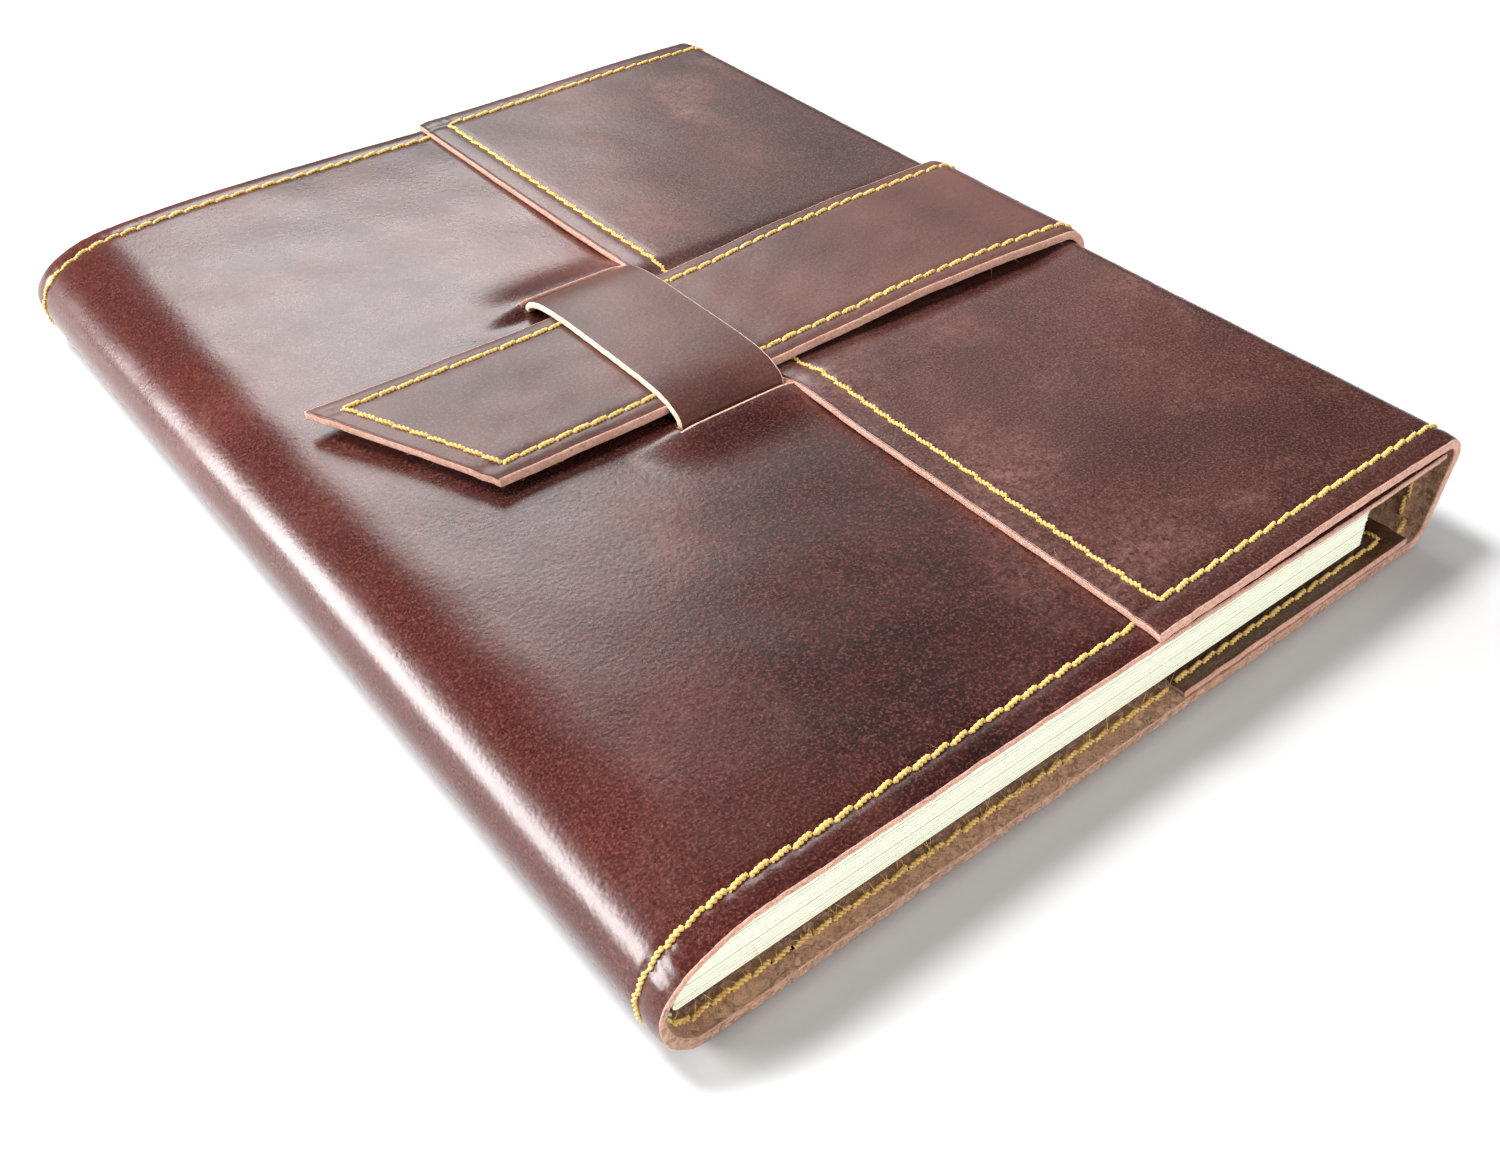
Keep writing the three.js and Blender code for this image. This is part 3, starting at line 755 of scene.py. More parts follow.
def in_slit(s, y):
    return (s > s_slit[0]) & (s < s_slit[1]) & (np.abs(off_slit(y)) < SLIT_HALF)


def worn_lip(s, y):
    along = (s > s_slit[0] - 1) & (s < s_slit[1] + 1)
    return along & (off_slit(y) > SLIT_HALF) & (off_slit(y) < SLIT_HALF + LIP_WEAR)


front_rows = grid_line(
    0, S_BACK_SPLIT, STEP, exact=s_slit, dense=[(S_SPINE_TOP - 8, S_BACK_START + 2, 0.5)],
)
hide_front = sheet(
    "hide_front", front_rows, front_columns, place_hide, LEATHER, HIDE, round_end=False,
    hole=in_slit, rough=lambda s: s > S_SPINE_MID - 4, worn=worn_lip,
)
back_rows = grid_line(S_BACK_SPLIT, S_WALL_SPLIT, STEP, dense=[(S_LOWER_FOLD - 2, S_WALL_SPLIT, 0.6)])
hide_back = sheet(
    "hide_back", back_rows, plain_columns, place_hide, LEATHER, HIDE, False, False,
    rough=lambda s: s < S_LOWER_FOLD,
)
flap_rows = grid_line(S_WALL_SPLIT, S_END, STEP, dense=[
    (S_WALL_SPLIT, S_FLAP_START + 2, 0.6), (S_END - 6.8, S_END - 3.2, 0.45), (S_END - 1.2, S_END, 0.4),
])
hide_flap = sheet("hide_flap", flap_rows, plain_columns, place_flap, LEATHER, FLAP, False, True)

# ---- strap ----

STRAP_R = FOLD_R + STRAP_GAP + LEATHER
# how high the strap runs above its own level, at places along x
STRAP_DIP = 0.55
RUN_X = [17, 24, 34, 48, 86, 92, 104, 120, 138, 152, 160, 166]
RUN_LIFT = [-0.1, -0.25, -0.45, -STRAP_DIP, -STRAP_DIP, -0.45, 0.0, 0.8, 1.1, 0.7, 0.2, 0.0]
ANCHOR = 11.0
FAN_LENGTH = 12
wall_dir = unit(np.subtract(UPPER_FOLD, LOWER_FOLD))
wall_normal = np.array([wall_dir[1], -wall_dir[0]])
strap_bend_start = np.array(UPPER_FOLD) + STRAP_R * wall_normal


def upper_run():
    """The strap over the flap and through the keeper, with its corners rounded off."""
    xs = np.arange(FOLD_X, TIP_FAR_X - 0.01, -0.5)
    kernel = np.exp(-np.linspace(-2, 2, 25) ** 2)
    heights = np.pad(np.interp(xs, RUN_X, RUN_LIFT), 12, "edge")
    heights = np.convolve(heights, kernel / kernel.sum(), "valid")
    heights -= heights[0] * np.exp(-(FOLD_X - xs) / 3)
    points = np.stack([xs, STRAP_TOP + heights], -1)
    return points, normals_beside(points, 1)


strap_path = Path(
    line(strap_bend_start - wall_dir * ANCHOR, strap_bend_start, wall_normal),
    arc(UPPER_FOLD, STRAP_R, STRAP_R, WALL_LEAN, 90, 32),
    upper_run(),
)


def strap_s(x):
    """Arc length at which the strap's upper run reaches x."""
    on_top = strap_path.lengths >= strap_path.nearest((FOLD_X, STRAP_TOP))
    return float(np.interp(-x, -strap_path.points[on_top, 0], strap_path.lengths[on_top]))


S_RUN = strap_s(FOLD_X)
S_LINK_1 = strap_s(0.5 * (FOLD_X + CREST_X))
S_LINK_2 = strap_s(0.5 * (CREST_X + TONGUE_X))
S_SLANT = strap_s(TIP_NEAR_X + FAN_LENGTH)
S_TIP_NEAR = strap_s(TIP_NEAR_X)
S_TIP = strap_path.length


def strap_half(s):
    share = np.clip((strap_path.x(s) - TONGUE_X) / (FOLD_X - TONGUE_X), 0, 1)
    return HALF_AT_KEEPER + (HALF_AT_FOLD - HALF_AT_KEEPER) * share


def slanted_end(w):
    """Arc length of the cut at w, which runs from -1 to 1 across the strap."""
    return S_TIP_NEAR + (S_TIP - S_TIP_NEAR) * (w + 1) / 2


def place_strap(s, w, depth):
    """Rows past S_SLANT fan out so that the last one lies on the slanted end."""
    share = np.clip((s - S_SLANT) / (S_TIP - S_SLANT), 0, None)
    s = np.where(s > S_SLANT, S_SLANT + share * (slanted_end(w) - S_SLANT), s)
    half = strap_half(s)
    y = STRAP_Y + w * half
    edge = half * (1 - np.abs(w))
    out = 0.10 * ripple(s, y, 30, 41) + 0.05 * ripple(s, y, 11, 43) - depth
    out = out - GROOVE * bump(edge - STRAP_SEAM, 1.0) * puckers(s, 0.2) - EDGE_DROP * bump(edge, 1.5)
    out = out - 0.12 * w * w * smooth(s, S_RUN, S_RUN + 20)
    tip = 1 - smooth(strap_path.x(s), TIP_FAR_X, TIP_FAR_X + 32)
    x, z = strap_path.beside(s, out + 0.25 * tip * w)
    return np.stack([x, y + stray(edge, s, 47) * np.sign(w), z], -1)


strap_columns = np.concatenate([[-1, -0.99, -0.97, -0.94], np.linspace(-0.9, 0.9, 41), [0.94, 0.97, 0.99, 1]])


def strap_sheet(name, rows, round_start=False, round_end=False):
    """A stretch of the strap; sheet() takes its columns in millimetres at the keeper."""
    def place(s, w_mm, depth):
        return place_strap(s, w_mm / HALF_AT_KEEPER, depth)

    columns = strap_columns * HALF_AT_KEEPER
    return sheet(name, rows, columns, place, LEATHER, STRAP, round_start, round_end)


over_dense = [(S_RUN, S_RUN + 3, 0.4)]
crest_dense = [(strap_s(CREST_X + 9), strap_s(CREST_X - 9), 0.5)]
tongue_dense = [(strap_s(TONGUE_X + 4), strap_s(TONGUE_X - 1), 0.4), (S_TIP - 6.0, S_TIP, 0.5)]
strap_wrap = strap_sheet("strap_wrap", grid_line(0, S_RUN, 0.9), round_start=True)
strap_over_flap = strap_sheet("strap_over_flap", grid_line(S_RUN, S_LINK_1, 1.0, dense=over_dense))
strap_crest = strap_sheet("strap_crest", grid_line(S_LINK_1, S_LINK_2, 1.0, dense=crest_dense))
tongue_rows = grid_line(S_LINK_2, S_TIP, 1.0, dense=tongue_dense)
strap_tongue = strap_sheet("strap_tongue_end", tongue_rows, round_end=True)

# ---- keeper ----

KEEPER_CROWN = STRAP_TOP - STRAP_DIP + STRAP_GAP + KEEPER_T
KEEPER_SLIT = SLIT_OFFSET - 0.1
TAB_Z = PANEL_TOP - LEATHER - 0.2
TAB_LENGTH = 8.5
ARCH_BOW = 0.5
ARCH_SHOULDER = 2.4


def keeper_line():
    """The band from end to end in y and z: a tab under the panel, a slit, the arch, a slit and a tab."""
    across = np.linspace(-1, 1, 81)
    arch = KEEPER_CROWN - 0.15 - ARCH_BOW * across**2 - ARCH_SHOULDER * np.abs(across) ** 7
    end = np.array([[TAB_LENGTH, 0], [1.2, 0], [0.2, 0.6], [0, 1.6]]) + (KEEPER_SLIT, TAB_Z)
    middle_points = np.stack([across * (KEEPER_SLIT - 0.6), arch], -1)
    points = np.concatenate([end * (-1, 1), middle_points, end[::-1]])
    lengths = arc_lengths(points)
    points = resampled(np.linspace(0, lengths[-1], 320), lengths, points)
    points = [np.convolve(np.pad(values, 4, "edge"), np.ones(9) / 9, "valid") for values in points.T]
    points = np.stack(points, -1)
    return points, normals_beside(points, -1)


keeper_path = Path(keeper_line())


def place_keeper(s, w, depth):
    y, z = keeper_path.beside(s, 0.06 * ripple(s, w, 24, 51) - depth)
    return np.stack([KEEPER_X + w + stray(KEEPER_HALF - np.abs(w), s, 53), KEEPER_Y + y, z], -1)


keeper_rows = grid_line(0, keeper_path.length, 0.7)
keeper_dense = both_ends(-KEEPER_HALF, KEEPER_HALF, *EDGE_CELLS)
keeper_columns = grid_line(-KEEPER_HALF, KEEPER_HALF, 0.9, dense=keeper_dense)
keeper_materials = [strap_grain_with_sheen, keeper_edge_lit, flesh]
keeper = sheet("keeper", keeper_rows, keeper_columns, place_keeper, KEEPER_T, keeper_materials)

# ---- pockets ----

POCKET_GAP = 0.04
# where a pocket begins to stand up from its rim, and where it is full
POCKET_RISE = (7.5, 13.0)


def pocket(name, node, grain_up):
    """An inner pocket and its placing function. It lies on the back panel or hangs under the front."""
    low, high = node_box(node)
    away, stand = (1, 0.6) if grain_up else (-1, 1.5)
    rim_z = LEATHER + POCKET_GAP if grain_up else PANEL_TOP - LEATHER - POCKET_GAP

    def place(x, y, depth):
        ends = np.minimum(y - low[1], high[1] - y)
        rim = np.minimum(ends, high[0] - x)
        seam_rim = np.minimum(ends + low[1] - INNER_SEAM, high[0] - x - FORE_SEAM)
        out = POCKET_T - depth + smooth(rim, *POCKET_RISE) * (stand + 0.10 * ripple(x, y, 38, 61))
        out = out - 0.25 * bump(seam_rim, 0.9) - 0.20 * bump(rim, 1.0)
        s = S_BACK_START + x - SPINE_LOWER_X if grain_up else FRONT_CUT_X - x
        skived = 0.0 if grain_up else 0.9 * (1 - smooth(ends, 0.4, 5.0))
        wobble = stray(rim, x + y, 67)
        z = rim_z + away * (out - hide_lift(s, y)) + skived
        return np.stack([x + wobble * 0.5, y + wobble, z], -1)

    rows = grid_line(low[0], high[0], 1.5, dense=[(high[0] - 6.4, high[0] - 3.0, 0.5)])
    columns = grid_line(low[1], high[1], 1.5, dense=both_ends(low[1], high[1], 1.2, 5, 0.5))
    return sheet(name, rows, columns, place, POCKET_T, POCKET), place


back_pocket, place_back_pocket = pocket("lining_pocket_back", "back_pocket", True)
front_pocket, place_front_pocket = pocket("lining_pocket_front", "front_pocket", False)

# ---- notebook ----

SIGNATURES = 6
LEAVES = 5


def rigid(obj, body, node):
    """A piece that rides on one body and stands for one CAD node."""
    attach(obj, body)
    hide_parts(node)


def leaf_section(fold_x, outer, inner, top_end, bottom_end):
    """A folded leaf in x and z: round its outer side and back round its inner side."""
    angles = np.linspace(math.pi / 2, 3 * math.pi / 2, 9)

    def side(r):
        fold = [(fold_x + r * math.cos(a), r * math.sin(a)) for a in angles]
        return [(top_end, r), *fold, (bottom_end, -r)]

    return np.array(side(outer) + side(inner)[::-1])


def signature(index):
    """Nested folded sheets, each one closed solid."""
    node = f"page_signature_{index}"
    low, high = node_box(node)
    rng = np.random.default_rng(100 + index)
    half = 0.5 * (high[2] - low[2])
    leaf = half / LEAVES
    rows = np.linspace(low[1], high[1], 30)
    vertices, faces = [], []
    for k in range(LEAVES):
        outer = half - k * leaf
        inner = max(half - (k + 1) * leaf * 0.97 - 0.004, 0.012)
        fold_x = low[0] + half + rng.uniform(0, 0.05)
        top_end, bottom_end = high[0] - rng.uniform(0, 0.25, 2) - 0.05 * k
        trim_tail, trim_head = rng.uniform(0, 0.22, 2)
        ring = leaf_section(fold_x, outer, inner, top_end, bottom_end)
        y = np.clip(rows, low[1] + trim_tail, high[1] - trim_head)[:, None]
        block = np.stack(np.broadcast_arrays(ring[:, 0], y, middle(low, high, 2) + ring[:, 1]), -1)
        vertices.append(block.reshape(-1, 3))
        size = len(rows) * len(ring)
        grid = k * size + np.arange(size).reshape(len(rows), len(ring))
        faces.append(loop_quads(grid).reshape(-1, 4))
        for edge, turn in ((grid[0], 1), (grid[-1], -1)):
            a, b = edge[: len(ring) // 2], edge[len(ring) // 2 :][::-1]
            faces.append(np.stack([a[:-1], b[:-1], b[1:], a[1:]], -1)[:, ::turn])
    vertices = np.concatenate(vertices)
    faces = turned_out(vertices, np.concatenate(faces))
    leaves = new_object(f"leaves_{index}", vertices, faces, [paper], [0] * len(faces), False)
    rigid(leaves, "back_cover", node)


for number in range(1, SIGNATURES + 1):
    signature(number)

CARD_CORNER = 4.0


def card(name, node, body, start_x):
    """A thin card with rounded corners."""
    low, high = node_box(node)
    half, centre = 0.5 * (high[1] - low[1]), middle(low, high, 1)

    def place(x, y, depth):
        into = CARD_CORNER - np.minimum(np.minimum(x - start_x, high[0] - x), CARD_CORNER)
        inset = CARD_CORNER - np.sqrt(np.clip(CARD_CORNER**2 - into**2, 0, None))
        return np.stack([x, centre + (y - centre) * (half - inset) / half, high[2] - depth], -1)

    rows = grid_line(start_x, high[0], 4, dense=both_ends(start_x, high[0], 0, CARD_CORNER, 0.3))
    columns = grid_line(low[1], high[1], 5)
    rigid(sheet(name, rows, columns, place, high[2] - low[2], [board] * 3), body, node)


card("card_back", "notebook_back_card", "back_cover", node_box("notebook_back_card")[0][0])
card("card_front", "notebook_front_card", "front_cover", 17.0)

TAPE_INSET = 2.3
TAPE_T = 0.4
tape_low, tape_high = node_box("notebook_spine_tape")
upper_reach = (SPINE_UPPER_X - TAPE_INSET, PANEL_TOP - SPINE_Z - TAPE_INSET)
lower_reach = (SPINE_LOWER_X - TAPE_INSET, SPINE_Z - TAPE_INSET)
tape_path = Path(
    arc((SPINE_UPPER_X, SPINE_Z), *upper_reach, 152, 180, 20),
    arc((SPINE_LOWER_X, SPINE_Z), *lower_reach, 180, 232, 24),
)


def place_tape(s, y, depth):
    x, z = tape_path.beside(s, -depth)
    return np.stack([x, y, z], -1)


tape_rows = grid_line(0, tape_path.length, 0.8)
tape_columns = grid_line(tape_low[1], tape_high[1], 4)
tape = sheet("spine_tape", tape_rows, tape_columns, place_tape, TAPE_T, [tape_cloth] * 3)
rigid(tape, "back_cover", "notebook_spine_tape")

# ---- stitches ----

THREAD_R = 0.45
STITCH_OVERLAP = 0.2
PLIES, PLY_TURNS, PLY_SIDES, PLY_RINGS = 2, 2.4, 7, 13
ARCH_HEIGHT = 0.34
SUNK = 0.16
END_DIP = 0.30
HOLE_SIDES = 10
HOLE_FOOT_R, HOLE_RIM_R = 0.44, 0.30
HAIR_RINGS = 5
# fibres rooted lower than this never point down
NEAR_TABLE = 2.5
THREAD, HOLE_SHADE, FIBRE = range(3)


def tube_faces(rings, sides):
    """Side quads and end triangles of a tube whose two end points follow its rings."""
    grid = np.arange(rings * sides).reshape(rings, sides)
    following = np.roll(grid, -1, axis=1)
    start = np.full(sides, rings * sides)
    ends = ((start, following[0], grid[0]), (start + 1, grid[-1], following[-1]))
    return loop_quads(grid).reshape(-1, 4), np.concatenate([np.stack(end, -1) for end in ends])


def fibre_faces():
    """Triangles of a three-sided tube without end points."""
    faces = [[0, 2, 1], [3 * HAIR_RINGS - 3, 3 * HAIR_RINGS - 2, 3 * HAIR_RINGS - 1]]
    for ring in range(HAIR_RINGS - 1):
        for k in range(3):
            a, b = 3 * ring + k, 3 * ring + (k + 1) % 3
            faces += [[a, b, b + 3], [a, b + 3, a + 3]]
    return np.array(faces)


PLY_FACES = tube_faces(PLY_RINGS, PLY_SIDES)
HOLE_FACES = tube_faces(2, HOLE_SIDES)
HAIR_FACES = fibre_faces()


class Blocks:
    """Points, faces and material numbers, gathered block by block."""

    def __init__(self):
        self.points, self.faces, self.kinds, self.count = [], [], [], 0

    def add(self, kind, points, *faces):
        for block in faces:
            self.faces += (block + self.count).tolist()
            self.kinds += [kind] * len(block)
        self.points.append(points)
        self.count += len(points)


def circle_points(u, v, radius, sides):
    """Circles with the axes u and v, one for each row of them."""
    angle = np.linspace(0, 2 * math.pi, sides, endpoint=False)[:, None]
    return radius * (u[..., None, :] * np.cos(angle) + v[..., None, :] * np.sin(angle))


def plies(path, start, stop, rng):
    """One stitch: two plies twisted round a low arch whose ends dip into the holes."""
    t = np.linspace(0, 1, PLY_RINGS)[:, None]
    centre, normal = path.at(start + (stop - start) * t[:, 0])
    across = np.cross(normal, unit(np.gradient(centre, axis=0)))
    along = 2 * t - 1
    slant = rng.uniform(0.12, 0.34)
    girth = rng.uniform(0.9, 1.12)
    height = ARCH_HEIGHT * np.sqrt(np.clip(1 - along**4, 0, 1)) - SUNK + rng.uniform(-0.03, 0.03)
    height = height - END_DIP * np.abs(along) ** 9
    spine = centre + normal * height + across * (slant * along + rng.uniform(-0.05, 0.05))
    taper = THREAD_R * girth * (0.62 + 0.38 * np.sqrt(np.clip(1 - np.abs(along) ** 5, 0, 1)))
    phase = rng.uniform(0, 2 * math.pi)
    for k in range(PLIES):
        turn = phase + 2 * math.pi * (PLY_TURNS * t + k / PLIES)
        core = spine + taper * (0.50 * across * np.cos(turn) + 0.40 * normal * np.sin(turn))
        rings = core[:, None] + circle_points(across, normal, 0.58 * taper[:, None], PLY_SIDES)
        yield np.concatenate([rings.reshape(-1, 3), core[[0, -1]]])


def awl_hole_shade(spot, normal):
    """A low dark dome: painted shade inside the awl hole."""
    helper = (0.0, 1.0, 0.0) if abs(normal[1]) < 0.9 else (1.0, 0.0, 0.0)
    u = unit(np.cross(normal, helper))
    v = np.cross(normal, u)
    foot, top = spot - normal * 0.25, spot + normal * 0.05
    rim = spot + normal * 0.02 + circle_points(u, v, HOLE_RIM_R, HOLE_SIDES)
    return np.concatenate([foot + circle_points(u, v, HOLE_FOOT_R, HOLE_SIDES), rim, [foot, top]])


def fibre(root, direction, bend, length, radius):
    """One thin tapering fibre."""
    t = np.linspace(0, 1, HAIR_RINGS)[:, None]
    centre = root + direction * length * t + bend * length * t**2
    side = unit(np.cross(direction, bend))
    circle = circle_points(side, np.cross(direction, side), radius, 3)
    return (centre[:, None] + circle * (1 - 0.8 * t)[:, :, None]).reshape(-1, 3)


def fibres_along(lines, per_mm, length, radius, rng):
    """Fibres that stand out of lines given as (points, outward directions)."""
    for points, outward in lines:
        for _ in range(int(arc_lengths(points)[-1] * per_mm)):
            k = rng.integers(len(points))
            direction = unit(outward[k] * 0.9 + rng.normal(0, 0.6, 3))
            root = points[k] + rng.normal(0, 0.12, 3) - direction * 0.15
            bend = rng.normal(0, 0.5, 3)
            if root[2] < NEAR_TABLE:
                direction[2], bend[2] = abs(direction[2]), abs(bend[2])
            yield fibre(root, direction, bend, rng.uniform(*length), radius)


def stitches(name, runs, seed, edges=(), messy=()):
    """Rows of stitches. Each run is (points, normals) along a seam.

    Fibres stand out of the thread and of the cut edges. messy names the runs with frayed backs.
    """
    rng = np.random.default_rng(seed)
    blocks = Blocks()
    for run in runs:
        path = Path(run)
        count = max(1, int(round(path.length / PITCH)))
        pitch = path.length / count
        for i in range(count):
            start, stop = i * pitch - STITCH_OVERLAP, (i + 1) * pitch + STITCH_OVERLAP
            for points in plies(path, start, stop, rng):
                blocks.add(THREAD, points, *PLY_FACES)
        for spot, normal in zip(*path.at(np.arange(count + 1) * pitch)):
            blocks.add(HOLE_SHADE, awl_hole_shade(spot, normal), *HOLE_FACES)
    # material, lines, fibres per millimetre, shortest and longest, radius
    for kind, *loose in (
        (THREAD, runs, 0.10, (0.6, 1.5), 0.030),
        (FIBRE, edges, 0.35, (0.4, 1.5), 0.035),
        (THREAD, messy, 1.3, (0.9, 2.4), 0.10),
    ):
        for points in fibres_along(*loose, rng):
            blocks.add(kind, points, HAIR_FACES)
    materials = (thread, hole_painted_shade, cut_edge)
    obj = new_object(name, np.concatenate(blocks.points), blocks.faces, materials, blocks.kinds)
    edited(obj.data, lambda work: bmesh.ops.recalc_face_normals(work, faces=work.faces))
    return obj


def spots(place, s, w, depth):
    """Points of a sheet at one depth below its outer face."""
    s, w = np.broadcast_arrays(np.asarray(s, float), np.asarray(w, float))
    return place(s, w, np.full(s.shape, float(depth)))


def run_on(place, s, w, outward=True):
    """Points and normals along a seam on a sheet's outer or inner face."""
    face, beyond = (0, -1) if outward else (LEATHER, LEATHER + 1)
    here = spots(place, s, w, face)
    return here, unit(spots(place, s, w, beyond) - here)


def hide_runs(s0, s1, edge, outward=True):
    """The two seams along the tail and the head, edge millimetres in."""
    s = np.arange(s0, s1, LINE_STEP)
    return [run_on(place_hide, s, y, outward) for y in (edge, HEIGHT - edge)]


def pocket_runs(place, node):
    """The seam round a pocket: along both ends and its fore-edge side, open at the mouth."""
    low, high = node_box(node)
    last = high[0] - FORE_SEAM
    s = np.arange(low[0] + 0.6, last, LINE_STEP)
    runs = [run_on(place, s, y) for y in (INNER_SEAM, HEIGHT - INNER_SEAM)]
    return runs + [run_on(place, last, np.arange(INNER_SEAM, HEIGHT - INNER_SEAM, LINE_STEP))]


s_front_pocket = FRONT_CUT_X - node_box("front_pocket")[0][0]
pocket_low, pocket_high = node_box("back_pocket")
s_pocket_mouth = S_BACK_START + pocket_low[0] - SPINE_LOWER_X
s_pocket_end = S_BACK_START + pocket_high[0] - FORE_SEAM - SPINE_LOWER_X
along_cut = np.arange(SEAM, HEIGHT - SEAM, LINE_STEP)

messy_front = hide_runs(S_SPINE_MID, S_BACK_SPLIT, INNER_SEAM, False)
front_runs = hide_runs(SEAM, S_BACK_SPLIT, SEAM)
front_runs += hide_runs(s_front_pocket, S_SPINE_MID, INNER_SEAM, False) + messy_front
front_runs += pocket_runs(place_front_pocket, "front_pocket") + [run_on(place_hide, SEAM, along_cut)]
messy_back = hide_runs(S_BACK_SPLIT, s_pocket_mouth, INNER_SEAM, False)
messy_back += hide_runs(s_pocket_end + 5.5, S_WALL_SPLIT, INNER_SEAM, False)
back_runs = hide_runs(S_BACK_SPLIT, S_WALL_SPLIT, SEAM) + messy_back
back_runs += pocket_runs(place_back_pocket, "back_pocket")
flap_s = np.arange(S_WALL_SPLIT, S_END - SEAM, LINE_STEP)
flap_runs = []
for outward in (True, False):
    flap_runs += [run_on(place_flap, flap_s, y, outward) for y in (SEAM, HEIGHT - SEAM)]
    flap_runs.append(run_on(place_flap, S_END - SEAM, along_cut, outward))


def strap_run(s0, s1, side):
    s = np.arange(s0, s1, LINE_STEP)
    return run_on(place_strap, s, side * (1 - STRAP_SEAM / strap_half(s)))


def strap_runs(s0, s1):
    return [strap_run(s0, s1, side) for side in (-1, 1)]


SEAM_W = 1 - STRAP_SEAM / HALF_AT_KEEPER


def before_slant(w):
    """The row value that keeps a seam's distance from the slanted cut."""
    end = slanted_end(w)
    share = (end - STRAP_SEAM * 1.1 - S_SLANT) / (end - S_SLANT)
    return S_SLANT + share * (S_TIP - S_SLANT)


def tongue_run(side):
    s = np.arange(S_LINK_2, before_slant(side * SEAM_W), LINE_STEP)
    return run_on(place_strap, s, side * SEAM_W)


EDGE_DEPTH = 0.9


def edge_line(place, s, w, outward):
    """Points along a cut edge with the direction that leads away from the leather."""
    points = spots(place, s, w, EDGE_DEPTH)
    return points, np.tile(outward, (len(points), 1))


def long_edges(place, s0, s1, low=0, high=HEIGHT):
    s = np.arange(s0, s1, LINE_STEP)
    return [edge_line(place, s, low, (0, -1, 0)), edge_line(place, s, high, (0, 1, 0))]


def strap_stitches(name, seed, s0, s1, runs=None, more_edges=()):
    edges = [*long_edges(place_strap, s0, s1, -1, 1), *more_edges]
    return stitches(name, runs or strap_runs(s0, s1), seed, edges)


flap_cut = edge_line(place_flap, S_END, np.arange(0.5, HEIGHT, LINE_STEP), (-1, 0, 0))
front_edges = long_edges(place_hide, 0.5, S_BACK_SPLIT)
back_edges = long_edges(place_hide, S_BACK_SPLIT, S_WALL_SPLIT)
flap_edges = long_edges(place_flap, S_WALL_SPLIT, S_END) + [flap_cut]
stitch_front = stitches("stitches_front", front_runs, 1, front_edges, messy_front)
stitch_back = stitches("stitches_back", back_runs, 2, back_edges, messy_back)
stitch_flap = stitches("stitches_flap", flap_runs, 3, flap_edges)

ANCHOR_SEAM = 2.5
wrap_runs = strap_runs(ANCHOR_SEAM, S_RUN) + [run_on(place_strap, ANCHOR_SEAM, np.linspace(-0.8, 0.8, 80))]
stitch_wrap = strap_stitches("stitches_strap_wrap", 4, 0, S_RUN, wrap_runs)
stitch_over = strap_stitches("stitches_strap_over_flap", 5, S_RUN, S_LINK_1)
stitch_crest = strap_stitches("stitches_strap_crest", 6, S_LINK_1, S_LINK_2)
slant_w = np.linspace(-SEAM_W, SEAM_W, 90)
tongue_runs = [tongue_run(-1), tongue_run(1), run_on(place_strap, before_slant(slant_w), slant_w)]
tip_cut = edge_line(place_strap, S_TIP, np.linspace(-0.98, 0.98, 90), (-1, -0.4, 0))
stitch_tongue = strap_stitches("stitches_strap_tongue", 7, S_LINK_2, S_TIP, tongue_runs, [tip_cut])

# ---- what moves with what ----


def bend(start_x, start_z, end_x, end_z):
    """The stretch over which a piece turns from one body to the next."""
    return dict(start=world_point(start_x, 0, start_z), end=world_point(end_x, 0, end_z))


def moving(first, last, turn, *pieces):
    """Pieces that stand between the first body and the last: each is baked in place and hides the CAD nodes
    it stands for. The bodies, the turn and each piece's slot are not used.
    """
    for obj, slot, *nodes in pieces:
        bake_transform(obj)
        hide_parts(*nodes)


moving(
    "back_cover", "front_cover", bend(0, 4, 0, 16),
    (hide_front, "hide", "spine_lower", "spine_upper", "front_panel"),
    (stitch_front, "thread", "front_seam_tail", "front_seam_head", "spine_seam_tail", "spine_seam_head"),
)
moving(
    "back_cover", "fore_edge", bend(LOWER_FOLD[0], 0, LOWER_FOLD[0] + 5, 4.5),
    (hide_back, "hide", "back_panel"),
    (stitch_back, "thread", "back_seam_tail", "back_seam_head"),
)
moving(
    "fore_edge", "flap", bend(169.5, 16.5, 164, 22),
    (hide_flap, "hide", "fore_edge_wall", "flap_panel"),
    (stitch_flap, "thread", "flap_seam", "wall_seam_tail", "wall_seam_head"),
    (strap_wrap, "hide", "strap_anchor", "strap_bend"),
    (stitch_wrap, "thread", "strap_anchor_seam", "strap_bend_seam_tail", "strap_bend_seam_head"),
)
moving(
    "flap", "strap_rising_link", bend(FOLD_X, 0, FOLD_X - 2.6, 0),
    (strap_over_flap, "hide", "strap_base"),
    (stitch_over, "thread", "strap_base_seam_tail", "strap_base_seam_head"),
)
moving(
    "strap_rising_link", "strap_falling_link", bend(CREST_X + 9, 0, CREST_X - 9, 0),
    (strap_crest, "hide", "strap_middle"),
    (stitch_crest, "thread", "strap_middle_seam_tail", "strap_middle_seam_head"),
)
moving(
    "strap_falling_link", "strap_sliding_end", bend(TONGUE_X + 3, 0, TONGUE_X - 0.6, 0),
    (strap_tongue, "hide", "strap_tongue"),
    (stitch_tongue, "thread", "strap_tongue_seam"),
)
rigid(keeper, "front_cover", "keeper_band")
rigid(back_pocket, "back_cover", "back_pocket")
rigid(front_pocket, "front_cover", "front_pocket")

# ---- floor, lights and camera ----

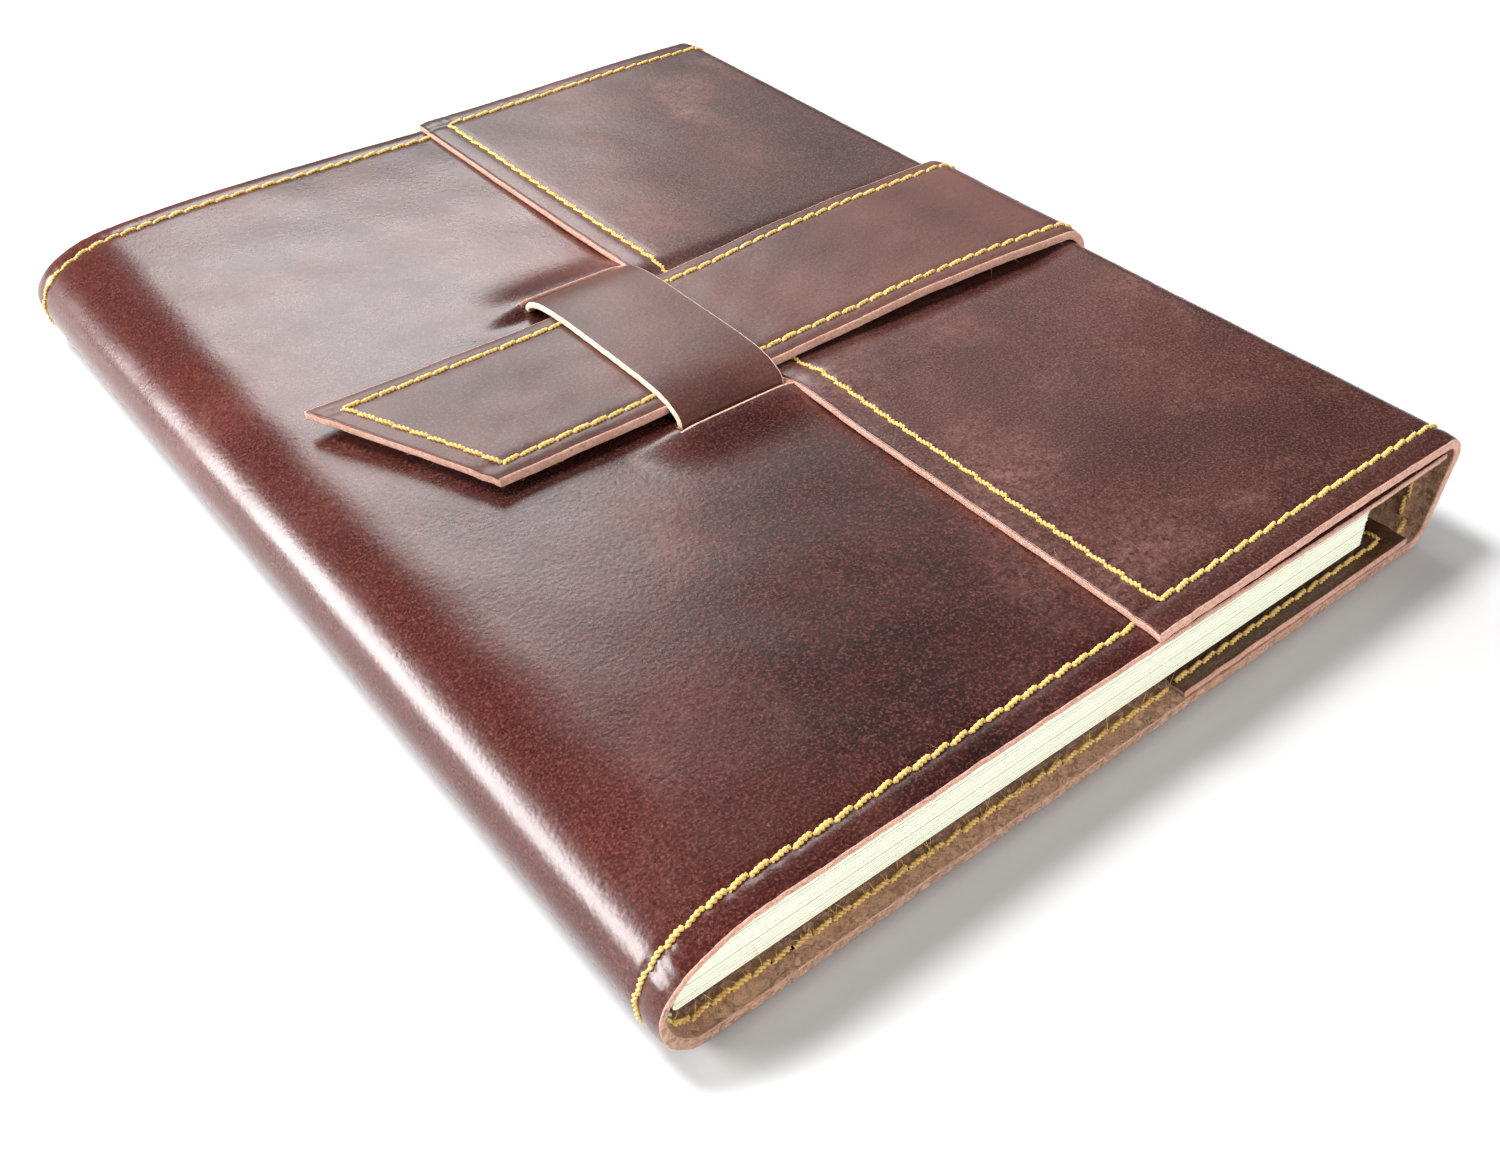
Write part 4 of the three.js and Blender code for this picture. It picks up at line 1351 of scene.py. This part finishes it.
FLOOR_SIZE = 6
FLOOR_Z = -0.0004
bpy.ops.mesh.primitive_plane_add(size=FLOOR_SIZE, location=(0, 0, FLOOR_Z))
floor = bpy.context.object
floor.name = "floor"
floor.data.materials.append(plain_material("pale_floor", 400, (0.68,) * 3, (0.70,) * 3, 0.8))
floor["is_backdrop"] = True


def area_light(name, power, size, azimuth, elevation, distance, mirrored):
    """A soft light aimed at the cover, placed by angles in degrees, counter-clockwise from +X."""
    a, e = math.radians(azimuth), math.radians(elevation)
    place = distance * Vector((math.cos(e) * math.cos(a), math.cos(e) * math.sin(a), math.sin(e)))
    data = bpy.data.lights.new(name, "AREA")
    data.shape = "RECTANGLE"
    data.size, data.size_y = size
    data.energy = power
    light = bpy.data.objects.new(name, data)
    light.location = place
    light.visible_glossy = mirrored
    light.rotation_euler = (Vector((0, 0, 0.01)) - place).to_track_quat("-Z", "Y").to_euler()
    bpy.context.scene.collection.objects.link(light)


# name, watts, width and height, azimuth, elevation, distance, and whether the leather mirrors it
for light_values in (
    ("camera_side", 4, (0.9, 0.9), -112, 56, 1.5, False),
    ("far_side", 25, (0.40, 0.40), 122, 64, 1.4, False),
    ("window", 6.2, (0.56, 0.46), 72, 36, 1.35, True),
    ("far_window", 1.0, (0.7, 0.5), 48, 31, 1.35, True),
    ("strip", 20, (0.75, 0.34), 146, 19, 1.1, True),
    ("front_fill", 13, (1.2, 0.5), -88, 14, 1.4, False),
):
    area_light(*light_values)

world = bpy.data.worlds.new("studio")
world.use_nodes = True
background = world.node_tree.nodes["Background"]
background.inputs["Color"].default_value = (0.95, 0.97, 1.0, 1)
background.inputs["Strength"].default_value = 0.08
bpy.context.scene.world = world
bpy.context.scene.view_settings.view_transform = "Standard"

CAMERA_PLACE = (-60.67, -97.0, 181.4)
CAMERA_YAW, CAMERA_PITCH, CAMERA_ROLL = -0.6838, 0.9270, 0.0031
camera_data = bpy.data.cameras.new("camera")
camera_data.sensor_width = 36
camera_data.lens = 38.39
camera_data.shift_x = -0.0186
camera_data.shift_y = -0.0808
camera_data.clip_start = 0.01
camera = bpy.data.objects.new("camera", camera_data)
turn = Matrix.Rotation(CAMERA_YAW, 4, "Z") @ Matrix.Rotation(CAMERA_PITCH, 4, "X")
turn = turn @ Matrix.Rotation(CAMERA_ROLL, 4, "Z")
camera.matrix_world = Matrix.Translation(world_point(*CAMERA_PLACE)) @ turn
bpy.context.scene.collection.objects.link(camera)
bpy.context.scene.camera = camera

bpy.context.view_layer.update()
boxes = {"cad": cad_bounds, "visual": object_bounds()}
{k: [[float(x) for x in corner] for corner in v] for k, v in boxes.items()}
